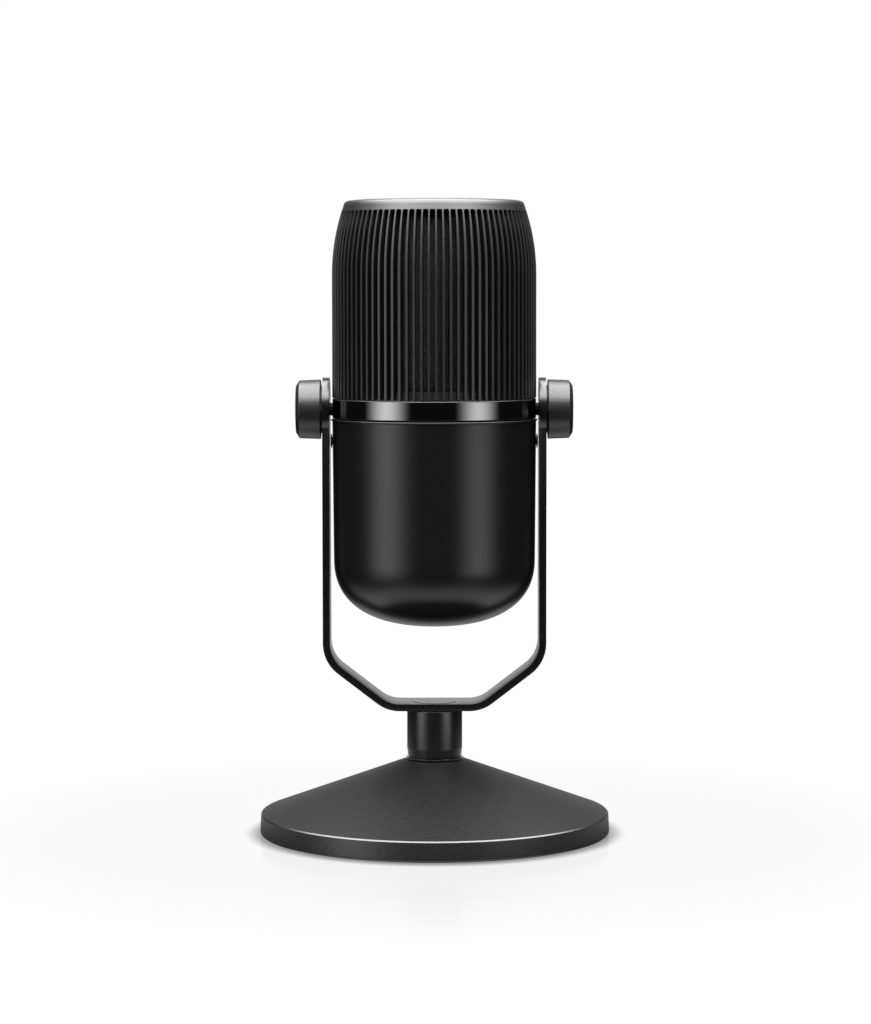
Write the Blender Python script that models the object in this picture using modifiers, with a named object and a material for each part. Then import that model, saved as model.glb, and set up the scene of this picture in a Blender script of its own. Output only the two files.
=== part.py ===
"""Desktop microphone: a head that tilts between the arms of a yoke, on a round weighted base.

Metres, +Z up. The origin is on the underside of the base, on the axis of the neck, and -Y is the front.
"""

import math

import bmesh
import bpy
from mathutils import Matrix, Vector

# ---- fits ----
CLEAR = 0.0003  # gap between two pieces that touch
EDGE_ROUND = 0.0003  # broken edge of sheet metal

# ---- base ----
BASE_RADIUS = 0.0555
BASE_RIM_TOP = 0.0067
BASE_RIM_DRAFT = 0.0003
BASE_RIM_CHAMFER = 0.0004
BASE_LIFT = 0.0002  # height of the cover's lower edge over the table
CONE_TOP_RADIUS = 0.0094
CONE_TOP_HEIGHT = 0.0235
COVER_WALL = 0.0022
PAD_THICKNESS = 0.0012
PLATE_THICKNESS = 0.0015
WEIGHT_RADIUS = 0.0440
WEIGHT_EDGE = 0.0044  # height of the weight's upright side
WEIGHT_NECK_RADIUS = 0.0100
WEIGHT_HEIGHT = 0.0150
BASE_SCREW_COUNT = 4
BASE_SCREW_CIRCLE = 0.0495
BASE_BOSS_RADIUS = 0.0027
BASE_SCREW_COVER = 0.0010  # left between the end of a screw's hole and the cone's face

# ---- neck ----
NECK_RADIUS = 0.00875
NECK_TRIM_RADIUS = 0.0090
NECK_TRIM_THICKNESS = 0.0005
NECK_FOOT_ROUND = 0.0005
BOLT_RADIUS = 0.0030
BOLT_HEAD_RADIUS = 0.0060
BOLT_SOCKET_RADIUS = 0.0020
BOLT_SOCKET_DEPTH = 0.0016
NUT_ACROSS_CORNERS = 0.0115
NUT_HEIGHT = 0.0050
BOLT_WASHER_RADIUS = 0.0060
BOLT_WASHER_THICKNESS = 0.0010
SWIVEL_WASHER_RADIUS = 0.0072
SWIVEL_WASHER_THICKNESS = 0.0008

# ---- yoke ----
YOKE_STRIP = 0.0022
YOKE_WIDTH = 0.0163
YOKE_UNDERSIDE = 0.0397
YOKE_FLAT_HALF = 0.0146  # half the flat bottom, to the corner of the lower bend
YOKE_BEND_RADIUS = 0.0110
YOKE_SHOULDER_HEIGHT = 0.0149  # rise from the lower bend's corner to the upper bend's corner
YOKE_ARM_GAP = 0.0008  # between an arm and the ring on the head
EAR_RADIUS = 0.0100

# ---- head ----
HEAD_RADIUS = 0.03215
PIVOT_HEIGHT = 0.1346
RING_WIDTH = 0.0061
RING_CENTRE_OVER_PIVOT = 0.00035
RING_WALL = 0.0024
RING_EDGE = 0.0003
SHELL_WALL = 0.0022
SHELL_TAPER = 0.00035  # how much narrower the shell is at its belly than the head
SHELL_BELLY_HEIGHT = 0.0881
SHELL_BOWL_DEPTH = 0.0219
SHELL_BOWL_POWER = 2.45
SHELL_BEAD_HEIGHT = 0.0006
SHELL_BEAD_PROUD = 0.00035
GRILLE_WALL = 0.0024
GRILLE_CROWN_START = 0.1770
GRILLE_CROWN_RADIUS = 0.0644
GRILLE_TOP = 0.2000
GRILLE_TOP_ROUND = 0.0018
COLLAR_HEIGHT = 0.0012  # solid foot under the ribs, in a rebate behind the ring's upper edge
COLLAR_THICKNESS = 0.0009
SLOT_COUNT = 87
SLOT_WIDTH = 0.00150
SLOT_TOP = 0.19665
RIB_LEAST = 0.0002  # a rib's width at the inner end of the slot cutters
RIB_PHASE = math.radians(1.19)
MESH_WALL = 0.0005

# ---- core frame, inside the head ----
CORE_WALL = 0.0028
CORE_FLOOR_DROP = 0.0146  # from the pivot down to the frame's floor
CORE_FLOOR = 0.0025
CORE_RISE = 0.0064  # from the pivot up to the frame's rim
CORE_HOLE_RADIUS = 0.0110
INSERT_RADIUS = 0.0036
INSERT_LENGTH = 0.0080
INSERT_BOSS_RADIUS = 0.0056
BRIDGE_WIDTH = 0.0150
BRIDGE_THICKNESS = 0.0030
LEG_WIDTH = 0.0060
LEG_DEPTH = 0.0040
LEG_SPACING = 0.0300

# ---- pick-up ----
CAPSULE_RADIUS = 0.0080
CAPSULE_DEPTH = 0.0060
CAPSULE_HEIGHT = 0.1720
CRADLE_WALL = 0.0020
CRADLE_WEB = 0.0020
CRADLE_POST_RADIUS = 0.0040
MOUNT_RADIUS = 0.0070
MOUNT_HEIGHT = 0.0070
MOUNT_FLOOR = 0.0021
MOUNT_GROOVE = 0.0015
LEAD_RADIUS = 0.0007
LEAD_STRAIGHT = 0.0060  # the lead's straight start under the drum

# ---- circuit board ----
BOARD_WIDTH = 0.0380
BOARD_HEIGHT = 0.0365
BOARD_THICKNESS = 0.0016
BOARD_FRONT = 0.0192
BOARD_TOP = 0.1190
BOARD_SCREW_RADIUS = 0.0010
BOARD_SCREW_HEAD_RADIUS = 0.0019
BOARD_SCREW_HEAD_HEIGHT = 0.0010
BOARD_SCREW_INSET = 0.0035
CHIP_SIZE = 0.0090
CHIP_HEIGHT = 0.0012

# ---- rear controls and inlets ----
DIAL_HEIGHT = 0.1105
DIAL_RADIUS = 0.0075
DIAL_LENGTH = 0.0075
DIAL_NOTCH_WIDTH = 0.0010
DIAL_NOTCH_DEPTH = 0.0006
SHAFT_RADIUS = 0.0030
POT_SIZE = 0.0110
POT_DEPTH = 0.0050
POT_BUSHING_RADIUS = 0.0045
BUTTON_HEIGHT = 0.0985
BUTTON_RADIUS = 0.0030
BUTTON_FLANGE_RADIUS = 0.0044
BUTTON_FLANGE = 0.0010
BUTTON_FLANGE_GAP = 0.0007  # between the flange and the wall's inner face
BUTTON_PROUD = 0.0015
BUTTON_TRAVEL = 0.0008
SWITCH_SIZE = 0.0060
SWITCH_DEPTH = 0.0035
SWITCH_STEM_RADIUS = 0.0016
INLET_HEIGHT = 0.0880
INLET_SPACING = 0.0170
USB_WIDTH = 0.0090
USB_THICKNESS = 0.0033
USB_WALL = 0.0004
USB_INSET = 0.0016  # from the rear wall's outer face in to the socket's mouth
JACK_RADIUS = 0.0030
JACK_BORE_RADIUS = 0.00175
JACK_INSET = 0.0012
JACK_FLOOR = 0.0020

# ---- knobs ----
KNOB_RADIUS = 0.0094
KNOB_OUTER_RADIUS = 0.0092
KNOB_LENGTH = 0.0078
KNOB_STAND_OFF = 0.0006
KNOB_CHAMFER_LENGTH = 0.0011
KNOB_CHAMFER_DEPTH = 0.0017
KNOB_WASHER_RADIUS = 0.0075
KNOB_WASHER_THICKNESS = 0.0011
KNOB_SCREW_RADIUS = 0.0020
KNOB_SCREW_HEAD_RADIUS = 0.0034
KNOB_SCREW_HEAD_LENGTH = 0.0030
KNOB_CAP = 0.0018  # the plastic over the screw's head

# ---- small screws ----
SMALL_SCREW_RADIUS = 0.0012
SMALL_SCREW_HEAD_RADIUS = 0.0023
SHELL_SCREW_DROP = 0.0100  # from the pivot down to the screws in the lower shell

# ---- roundness ----
BIG_STEPS = 48
MID_STEPS = 24
SMALL_STEPS = 12
TINY_STEPS = 8
MERGE = 0.00001

# ---- worked out from the sizes above ----
PLATE_BOTTOM = PAD_THICKNESS + CLEAR
PLATE_TOP = PLATE_BOTTOM + PLATE_THICKNESS
COVER_INNER_RADIUS = BASE_RADIUS - COVER_WALL
CONE_FOOT_RADIUS = BASE_RADIUS - BASE_RIM_DRAFT - BASE_RIM_CHAMFER
CONE_FALL = (CONE_TOP_HEIGHT - BASE_RIM_TOP) / (CONE_FOOT_RADIUS - CONE_TOP_RADIUS)
WEIGHT_BOTTOM = PLATE_TOP + CLEAR
NECK_BOTTOM = CONE_TOP_HEIGHT + NECK_TRIM_THICKNESS + 2 * CLEAR
NECK_TOP = YOKE_UNDERSIDE - CLEAR
YOKE_TOP = YOKE_UNDERSIDE + YOKE_STRIP
RING_BOTTOM = PIVOT_HEIGHT + RING_CENTRE_OVER_PIVOT - RING_WIDTH / 2
RING_TOP = RING_BOTTOM + RING_WIDTH
CORE_RADIUS = HEAD_RADIUS - RING_WALL - CLEAR
CORE_INNER_RADIUS = CORE_RADIUS - CORE_WALL
CORE_BOTTOM = PIVOT_HEIGHT - CORE_FLOOR_DROP
CORE_TOP = PIVOT_HEIGHT + CORE_RISE
SHELL_TOP = RING_BOTTOM - CLEAR
GRILLE_BOTTOM = RING_TOP + CLEAR
COLLAR_BOTTOM = GRILLE_BOTTOM - COLLAR_HEIGHT
ARM_INNER = HEAD_RADIUS + YOKE_ARM_GAP
ARM_OUTER = ARM_INNER + YOKE_STRIP
BOARD_REAR = BOARD_FRONT + BOARD_THICKNESS
SHELL_BELLY_RADIUS = HEAD_RADIUS - SHELL_TAPER
REAR_WALL_OUTER = SHELL_BELLY_RADIUS
REAR_WALL_INNER = SHELL_BELLY_RADIUS - SHELL_WALL
BRIDGE_TOP = CORE_TOP - CLEAR

PARTS = bpy.data.collections.new("desktop_microphone")
CUTTERS = bpy.data.collections.new("cutters")
BODIES = {}
PAINTS = {}


def clear_scene():
    for obj in list(bpy.data.objects):
        bpy.data.objects.remove(obj, do_unlink=True)
    bpy.context.scene.collection.children.link(PARTS)
    bpy.context.scene.collection.children.link(CUTTERS)


def paint(name, colour, roughness, metallic=0.0):
    """A plain material, made once for each name."""
    if name not in PAINTS:
        made = bpy.data.materials.new(name)
        made.use_nodes = True
        shader = made.node_tree.nodes["Principled BSDF"]
        shader.inputs["Base Color"].default_value = (*colour, 1.0)
        shader.inputs["Roughness"].default_value = roughness
        shader.inputs["Metallic"].default_value = metallic
        PAINTS[name] = made
    return PAINTS[name]


def satin_black():
    return paint("satin_black", (0.012, 0.012, 0.013), 0.45)


def grained_black():
    return paint("grained_black", (0.018, 0.018, 0.019), 0.6)


def gloss_black():
    return paint("gloss_black", (0.006, 0.006, 0.006), 0.08)


def steel():
    return paint("zinc_steel", (0.55, 0.55, 0.56), 0.35, 1.0)


def add_body(name, place):
    """An empty on the joint's axis, which carries the pieces that move together."""
    empty = bpy.data.objects.new(name + "_body", None)
    empty.location = place
    PARTS.objects.link(empty)
    BODIES[name] = empty


def add_part(name, mesh, body, material, place=None):
    """A named piece. Its mesh is in its own coordinates, and place puts those in the object."""
    piece = bpy.data.objects.new(name, mesh)
    mesh.name = name
    mesh.materials.clear()
    mesh.materials.append(material)
    mesh.shade_smooth()
    mesh.set_sharp_from_angle(angle=math.radians(35))
    PARTS.objects.link(piece)
    piece.parent = BODIES[body]
    piece.matrix_parent_inverse = Matrix.Translation(-BODIES[body].location)
    piece.matrix_basis = place or Matrix.Identity(4)
    return piece


def add_cutter(name, mesh, place=None):
    cutter = bpy.data.objects.new(name, mesh)
    cutter.hide_render = True
    cutter.display_type = "WIRE"
    cutter.matrix_basis = place or Matrix.Identity(4)
    CUTTERS.objects.link(cutter)
    return cutter


def combine(piece, tool, operation):
    boolean = piece.modifiers.new(operation.lower() + "_" + tool.name, "BOOLEAN")
    boolean.operation = operation
    boolean.object = tool
    boolean.solver = "EXACT"


def cut(piece, *tools):
    for tool in tools:
        combine(piece, tool, "DIFFERENCE")


def join(piece, *tools):
    for tool in tools:
        combine(piece, tool, "UNION")


def along_x(x, y, z):
    """Turns local +Z to +X, and puts the origin at this point."""
    return Matrix.Translation((x, y, z)) @ Matrix.Rotation(math.pi / 2, 4, "Y")


def along_minus_x(x, y, z):
    return Matrix.Translation((x, y, z)) @ Matrix.Rotation(-math.pi / 2, 4, "Y")


def along_y(x, y, z):
    """Turns local +Z to +Y, and puts the origin at this point."""
    return Matrix.Translation((x, y, z)) @ Matrix.Rotation(-math.pi / 2, 4, "X")


def along_minus_y(x, y, z):
    return Matrix.Translation((x, y, z)) @ Matrix.Rotation(math.pi / 2, 4, "X")


def at(x, y, z):
    return Matrix.Translation((x, y, z))


def box_mesh(size_x, size_y, size_z):
    """A box centred on X and Y, standing on z = 0."""
    form = bmesh.new()
    bmesh.ops.create_cube(form, size=1.0)
    bmesh.ops.scale(form, vec=(size_x, size_y, size_z), verts=form.verts)
    bmesh.ops.translate(form, vec=(0, 0, size_z / 2), verts=form.verts)
    return mesh_of(form)


def cylinder_mesh(radius, length, steps, top_radius=None):
    """A cylinder or cone along +Z, standing on z = 0."""
    form = bmesh.new()
    bmesh.ops.create_cone(
        form,
        cap_ends=True,
        segments=steps,
        radius1=radius,
        radius2=radius if top_radius is None else top_radius,
        depth=length,
    )
    bmesh.ops.translate(form, vec=(0, 0, length / 2), verts=form.verts)
    return mesh_of(form)


def mesh_of(form):
    mesh = bpy.data.meshes.new("form")
    form.to_mesh(mesh)
    form.free()
    return mesh


def profile_mesh(points, closed):
    """The profile of a turned shape: (radius, height) points, outer side first, from top to bottom."""
    form = bmesh.new()
    verts = [form.verts.new((radius, 0, height)) for radius, height in points]
    for first, second in zip(verts, verts[1:]):
        form.edges.new((first, second))
    if closed:
        form.edges.new((verts[-1], verts[0]))
    return mesh_of(form)


def turn(piece, steps):
    screw = piece.modifiers.new("turn", "SCREW")
    screw.axis = "Z"
    screw.steps = steps
    screw.render_steps = steps
    screw.use_merge_vertices = True
    screw.merge_threshold = MERGE
    screw.use_smooth_shade = True


def turned_part(name, points, steps, body, material, place=None, closed=False):
    """A turned piece: an open profile ends on the axis, and a closed one goes round a bore."""
    piece = add_part(name, profile_mesh(points, closed), body, material, place)
    turn(piece, steps)
    return piece


def turned_cutter(name, points, steps, place=None, closed=False):
    cutter = add_cutter(name, profile_mesh(points, closed), place)
    turn(cutter, steps)
    return cutter


def tube_points(inner, outer, bottom, top):
    return [(outer, top), (outer, bottom), (inner, bottom), (inner, top)]


def disc_points(radius, bottom, top):
    return [(0.0, top), (radius, top), (radius, bottom), (0.0, bottom)]


def arc(centre, radius, start, end, steps):
    """Points of an arc in a profile, angles in radians, both ends included."""
    points = []
    for index in range(steps + 1):
        angle = start + (end - start) * index / steps
        points.append((centre[0] + radius * math.cos(angle), centre[1] + radius * math.sin(angle)))
    return points


def bowl(radius, depth, height, power, steps):
    """A superellipse quarter, from (radius, height) down to the axis."""
    points = []
    for index in range(steps + 1):
        angle = math.pi / 2 * index / steps
        across = max(math.cos(angle), 0.0) ** (2 / power)
        down = math.sin(angle) ** (2 / power)
        points.append((radius * across, height - depth * down))
    points[-1] = (0.0, height - depth)
    return points


def cone_height(radius):
    """Height of the cover's outer face over the table at this radius."""
    return BASE_RIM_TOP + (CONE_FOOT_RADIUS - radius) * CONE_FALL


def screw_points(radius, length, head_radius, head_height):
    """A pan-head screw: its head's top is at z = head_height, and its shank goes down from z = 0."""
    return [
        (0.0, head_height),
        (head_radius * 0.7, head_height),
        (head_radius, head_height * 0.45),
        (head_radius, 0.0),
        (radius, 0.0),
        (radius, -length),
        (0.0, -length),
    ]


# ---- base ----


def base_cover():
    wall_drop = COVER_WALL * math.hypot(1, CONE_FALL)
    inner_top = CONE_TOP_HEIGHT - COVER_WALL
    rim_inner_top = cone_height(COVER_INNER_RADIUS) - wall_drop
    inner_top_radius = COVER_INNER_RADIUS - (inner_top - rim_inner_top) / CONE_FALL
    points = [
        (CONE_TOP_RADIUS, CONE_TOP_HEIGHT),
        (CONE_FOOT_RADIUS, BASE_RIM_TOP),
        (BASE_RADIUS - BASE_RIM_DRAFT, BASE_RIM_TOP - BASE_RIM_CHAMFER),
        (BASE_RADIUS, BASE_LIFT),
        (COVER_INNER_RADIUS, BASE_LIFT),
        (COVER_INNER_RADIUS, rim_inner_top),
        (inner_top_radius, inner_top),
        (BOLT_RADIUS + CLEAR, inner_top),
        (BOLT_RADIUS + CLEAR, CONE_TOP_HEIGHT),
    ]
    cover = turned_part("base_cover", points, BIG_STEPS, "base", grained_black(), closed=True)
    boss_top = cone_height(BASE_SCREW_CIRCLE) - COVER_WALL / 2
    boss_bottom = PLATE_TOP + CLEAR
    for index, (x, y) in enumerate(base_screw_places()):
        boss = cylinder_mesh(BASE_BOSS_RADIUS, boss_top - boss_bottom, TINY_STEPS)
        join(cover, add_cutter(f"base_boss_{index}", boss, at(x, y, boss_bottom)))
        hole = cylinder_mesh(SMALL_SCREW_RADIUS + CLEAR / 2, base_screw_length(), TINY_STEPS)
        cut(cover, add_cutter(f"base_boss_hole_{index}", hole, at(x, y, PLATE_BOTTOM)))


def base_screw_places():
    places = []
    for index in range(BASE_SCREW_COUNT):
        angle = math.pi * (2 * index + 1) / BASE_SCREW_COUNT
        places.append((BASE_SCREW_CIRCLE * math.cos(angle), BASE_SCREW_CIRCLE * math.sin(angle)))
    return places


def base_screw_length():
    """From the plate's underside to just under the cover's outer face."""
    return cone_height(BASE_SCREW_CIRCLE + BASE_BOSS_RADIUS) - BASE_SCREW_COVER - PLATE_BOTTOM


def base_screws():
    """Their countersunk heads lie flush in the plate."""
    head = SMALL_SCREW_HEAD_RADIUS
    length = base_screw_length() - 2 * CLEAR
    points = [
        (0.0, length),
        (SMALL_SCREW_RADIUS, length),
        (SMALL_SCREW_RADIUS, head - SMALL_SCREW_RADIUS),
        (head, 0.0),
        (0.0, 0.0),
    ]
    for index, (x, y) in enumerate(base_screw_places()):
        place = at(x, y, PLATE_BOTTOM)
        turned_part(f"base_screw_{index + 1}", points, TINY_STEPS, "base", steel(), place)


def base_plate():
    radius = COVER_INNER_RADIUS - CLEAR
    points = disc_points(radius, PLATE_BOTTOM, PLATE_TOP)
    plate = turned_part("base_plate", points, BIG_STEPS, "base", steel())
    head = SMALL_SCREW_HEAD_RADIUS + CLEAR
    sink = [
        (SMALL_SCREW_RADIUS + CLEAR, PLATE_THICKNESS + CLEAR),
        (SMALL_SCREW_RADIUS + CLEAR, head - SMALL_SCREW_RADIUS - CLEAR),
        (head, 0.0),
        (head, -CLEAR),
    ]
    sink = [(0.0, PLATE_THICKNESS + CLEAR), *sink, (0.0, -CLEAR)]
    for index, (x, y) in enumerate(base_screw_places()):
        cut(plate, turned_cutter(f"base_sink_{index}", sink, TINY_STEPS, at(x, y, PLATE_BOTTOM)))


def base_pad():
    points = disc_points(COVER_INNER_RADIUS - CLEAR, 0.0, PAD_THICKNESS)
    rubber = paint("black_foam_rubber", (0.02, 0.02, 0.02), 0.9)
    turned_part("base_pad", points, BIG_STEPS, "base", rubber)


def nut_pocket_top():
    return WEIGHT_BOTTOM + NUT_HEIGHT + BOLT_WASHER_THICKNESS + 3 * CLEAR


def base_weight():
    """A cast disc that follows the cone, with a pocket underneath for the nut."""
    bore = BOLT_RADIUS + CLEAR
    pocket = max(NUT_ACROSS_CORNERS / 2, BOLT_WASHER_RADIUS) + CLEAR
    points = [
        (WEIGHT_NECK_RADIUS, WEIGHT_BOTTOM + WEIGHT_HEIGHT),
        (WEIGHT_RADIUS, WEIGHT_BOTTOM + WEIGHT_EDGE),
        (WEIGHT_RADIUS, WEIGHT_BOTTOM),
        (pocket, WEIGHT_BOTTOM),
        (pocket, nut_pocket_top()),
        (bore, nut_pocket_top()),
        (bore, WEIGHT_BOTTOM + WEIGHT_HEIGHT),
    ]
    iron = paint("cast_iron", (0.08, 0.08, 0.08), 0.7, 1.0)
    turned_part("base_weight", points, BIG_STEPS, "base", iron, closed=True)


# ---- neck and swivel ----


def neck_trim():
    bottom = CONE_TOP_HEIGHT + CLEAR
    points = tube_points(
        BOLT_RADIUS + CLEAR, NECK_TRIM_RADIUS, bottom, bottom + NECK_TRIM_THICKNESS
    )
    turned_part("neck_trim", points, MID_STEPS, "base", gloss_black(), closed=True)


def neck_sleeve():
    """Its upper end holds the washer that the yoke turns on."""
    bore = BOLT_RADIUS + CLEAR
    recess = SWIVEL_WASHER_RADIUS + CLEAR
    floor = NECK_TOP - SWIVEL_WASHER_THICKNESS
    points = [
        (NECK_RADIUS, NECK_TOP),
        (NECK_RADIUS, NECK_BOTTOM + 2 * NECK_FOOT_ROUND),
        (NECK_RADIUS - NECK_FOOT_ROUND * 0.4, NECK_BOTTOM + NECK_FOOT_ROUND),
        (NECK_RADIUS - NECK_FOOT_ROUND, NECK_BOTTOM),
        (bore, NECK_BOTTOM),
        (bore, floor),
        (recess, floor),
        (recess, NECK_TOP),
    ]
    turned_part("neck_sleeve", points, MID_STEPS, "base", satin_black(), closed=True)


def bolt_head_radius(height):
    """The countersunk head narrows by as much as it goes down."""
    return BOLT_HEAD_RADIUS - (YOKE_TOP - CLEAR / 3 - height)


def swivel_washer():
    """A slippery washer whose bore lets the bolt's cone through."""
    top = NECK_TOP
    bottom = top - SWIVEL_WASHER_THICKNESS + CLEAR
    bore = bolt_head_radius(top) + CLEAR
    points = tube_points(bore, SWIVEL_WASHER_RADIUS, bottom, top)
    nylon = paint("white_nylon", (0.75, 0.74, 0.7), 0.5)
    turned_part("swivel_washer", points, MID_STEPS, "base", nylon, closed=True)


def yoke_bolt():
    """Countersunk into the yoke, through the neck and the cover, down to the nut in the weight."""
    top = YOKE_TOP - CLEAR / 3
    cone_end = top - (BOLT_HEAD_RADIUS - BOLT_RADIUS)
    end = WEIGHT_BOTTOM + CLEAR
    points = [
        (0.0, top - BOLT_SOCKET_DEPTH),
        (BOLT_SOCKET_RADIUS, top - BOLT_SOCKET_DEPTH),
        (BOLT_SOCKET_RADIUS, top),
        (BOLT_HEAD_RADIUS, top),
        (BOLT_RADIUS, cone_end),
        (BOLT_RADIUS, end),
        (0.0, end),
    ]
    turned_part("yoke_bolt", points, SMALL_STEPS, "base", steel())


def bolt_nut():
    bottom = WEIGHT_BOTTOM + CLEAR
    hexagon = cylinder_mesh(NUT_ACROSS_CORNERS / 2, NUT_HEIGHT, 6)
    nut = add_part("bolt_nut", hexagon, "base", steel(), at(0, 0, bottom))
    hole = cylinder_mesh(BOLT_RADIUS + CLEAR, NUT_HEIGHT + 4 * CLEAR, SMALL_STEPS)
    cut(nut, add_cutter("nut_thread", hole, at(0, 0, bottom - 2 * CLEAR)))


def bolt_washer():
    bottom = WEIGHT_BOTTOM + NUT_HEIGHT + 2 * CLEAR
    points = tube_points(
        BOLT_RADIUS + CLEAR, BOLT_WASHER_RADIUS, bottom, bottom + BOLT_WASHER_THICKNESS
    )
    turned_part("bolt_washer", points, SMALL_STEPS, "base", steel(), closed=True)


# ---- yoke ----


def bend(corner, before, after, radius, steps):
    """Points of the bend of this radius that rounds a corner of the strip's middle line."""
    into = (corner - before).normalized()
    out = (after - corner).normalized()
    turn_angle = into.angle(out)
    reach = radius * math.tan(turn_angle / 2)
    side = Vector((-into.y, into.x))
    centre = corner - into * reach + side * radius
    points = []
    for index in range(steps + 1):
        angle = turn_angle * index / steps
        arm = -side * math.cos(angle) + into * math.sin(angle)
        points.append(centre + arm * radius)
    return points


def yoke_rows():
    """Rows across the right half of the strip: (x, z, half width), from the middle to the ear's top."""
    middle_z = YOKE_UNDERSIDE + YOKE_STRIP / 2
    arm_x = ARM_INNER + YOKE_STRIP / 2
    start = Vector((0.0, middle_z))
    lower = Vector((YOKE_FLAT_HALF, middle_z))
    upper = Vector((arm_x, middle_z + YOKE_SHOULDER_HEIGHT))
    top = Vector((arm_x, PIVOT_HEIGHT))
    lower_bend = bend(lower, start, upper, YOKE_BEND_RADIUS, 4)
    upper_bend = bend(upper, lower, top, YOKE_BEND_RADIUS, 5)
    line = [start, *lower_bend, *upper_bend]
    half = YOKE_WIDTH / 2
    rows = [(point.x, point.y, half) for point in line]
    join_angle = -math.acos(half / EAR_RADIUS)
    ear_steps = 9
    for index in range(ear_steps + 1):
        angle = join_angle + (math.pi / 2 - join_angle) * index / ear_steps
        rows.append((arm_x, PIVOT_HEIGHT + EAR_RADIUS * math.sin(angle), EAR_RADIUS * math.cos(angle)))
    return rows


def yoke_bracket():
    """Half of a flat strip with a round end, bent twice, mirrored, and given its thickness."""
    form = bmesh.new()
    previous = None
    for x, z, half in yoke_rows():
        row = [form.verts.new((x, -half, z)), form.verts.new((x, half, z))]
        if previous:
            form.faces.new((previous[0], row[0], row[1], previous[1]))
        previous = row
    bmesh.ops.remove_doubles(form, verts=form.verts, dist=MERGE)
    yoke = add_part("yoke_bracket", mesh_of(form), "yoke", satin_black())
    mirror = yoke.modifiers.new("other_arm", "MIRROR")
    mirror.use_axis = (True, False, False)
    mirror.merge_threshold = MERGE
    solid = yoke.modifiers.new("strip", "SOLIDIFY")
    solid.thickness = YOKE_STRIP
    solid.offset = 0.0
    solid.use_even_offset = True
    rounding = yoke.modifiers.new("broken_edges", "BEVEL")
    rounding.width = EDGE_ROUND
    rounding.segments = 1
    rounding.limit_method = "ANGLE"
    rounding.angle_limit = math.radians(60)
    reach = ARM_OUTER + CLEAR
    hole = cylinder_mesh(KNOB_SCREW_RADIUS + CLEAR, 2 * reach, SMALL_STEPS)
    cut(yoke, add_cutter("ear_holes", hole, along_x(-reach, 0, PIVOT_HEIGHT)))
    low = YOKE_UNDERSIDE - CLEAR
    high = YOKE_TOP + CLEAR
    sink = [
        (0.0, high),
        (bolt_head_radius(high) + CLEAR, high),
        (bolt_head_radius(low) + CLEAR, low),
        (0.0, low),
    ]
    cut(yoke, turned_cutter("yoke_sink", sink, SMALL_STEPS))


# ---- head: outside ----


def center_ring():
    inner = HEAD_RADIUS - RING_WALL
    rebate = inner + COLLAR_THICKNESS + CLEAR
    points = [
        (HEAD_RADIUS - RING_EDGE, RING_TOP),
        (HEAD_RADIUS, RING_TOP - RING_EDGE),
        (HEAD_RADIUS, RING_BOTTOM + RING_EDGE),
        (HEAD_RADIUS - RING_EDGE, RING_BOTTOM),
        (inner, RING_BOTTOM),
        (inner, COLLAR_BOTTOM - CLEAR),
        (rebate, COLLAR_BOTTOM - CLEAR),
        (rebate, RING_TOP),
    ]
    ring = turned_part("center_ring", points, BIG_STEPS, "head", gloss_black(), closed=True)
    hole = cylinder_mesh(KNOB_SCREW_RADIUS + CLEAR, 2 * HEAD_RADIUS + 4 * CLEAR, SMALL_STEPS)
    cut(ring, add_cutter("ring_holes", hole, along_x(-HEAD_RADIUS - 2 * CLEAR, 0, PIVOT_HEIGHT)))


def lower_shell():
    """A cup with a thin bead round its mouth, and holes in its rear wall."""
    bead_bottom = SHELL_TOP - SHELL_BEAD_HEIGHT
    outer = bowl(SHELL_BELLY_RADIUS, SHELL_BOWL_DEPTH, SHELL_BELLY_HEIGHT, SHELL_BOWL_POWER, 7)
    inner = bowl(
        SHELL_BELLY_RADIUS - SHELL_WALL,
        SHELL_BOWL_DEPTH - SHELL_WALL,
        SHELL_BELLY_HEIGHT,
        SHELL_BOWL_POWER,
        5,
    )
    points = [
        *reversed(inner),
        (HEAD_RADIUS - SHELL_WALL, SHELL_TOP),
        (HEAD_RADIUS + SHELL_BEAD_PROUD, SHELL_TOP),
        (HEAD_RADIUS + SHELL_BEAD_PROUD, bead_bottom),
        (HEAD_RADIUS, bead_bottom),
        *outer,
    ]
    shell = turned_part("lower_shell", points, BIG_STEPS, "head", satin_black())
    cut(shell, *rear_holes())
    for side, turn_to in (("left", along_minus_x), ("right", along_x)):
        hole = cylinder_mesh(SMALL_SCREW_RADIUS + CLEAR, 3 * SHELL_WALL, TINY_STEPS)
        start = shell_screw_seat() - 2 * SHELL_WALL
        start = start if side == "right" else -start
        cut(shell, add_cutter(f"shell_screw_hole_{side}", hole, turn_to(start, 0, shell_screw_height())))


def rear_holes():
    """Cutters through the rear wall: the dial's shaft, the mute button and the two inlets."""
    length = 5 * SHELL_WALL
    start = REAR_WALL_INNER - 3 * SHELL_WALL
    shaft = cylinder_mesh(POT_BUSHING_RADIUS + CLEAR, length, SMALL_STEPS)
    button = cylinder_mesh(BUTTON_RADIUS + CLEAR, length, SMALL_STEPS)
    jack = cylinder_mesh(JACK_RADIUS + CLEAR, length, SMALL_STEPS)
    usb = box_mesh(USB_WIDTH + 2 * CLEAR, USB_THICKNESS + 2 * CLEAR, length)
    half = INLET_SPACING / 2
    return [
        add_cutter("shaft_hole", shaft, along_y(0, start, DIAL_HEIGHT)),
        add_cutter("button_hole", button, along_y(0, start, BUTTON_HEIGHT)),
        add_cutter("jack_hole", jack, along_y(half, start, INLET_HEIGHT)),
        add_cutter("usb_hole", usb, along_y(-half, start, INLET_HEIGHT)),
    ]


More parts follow.
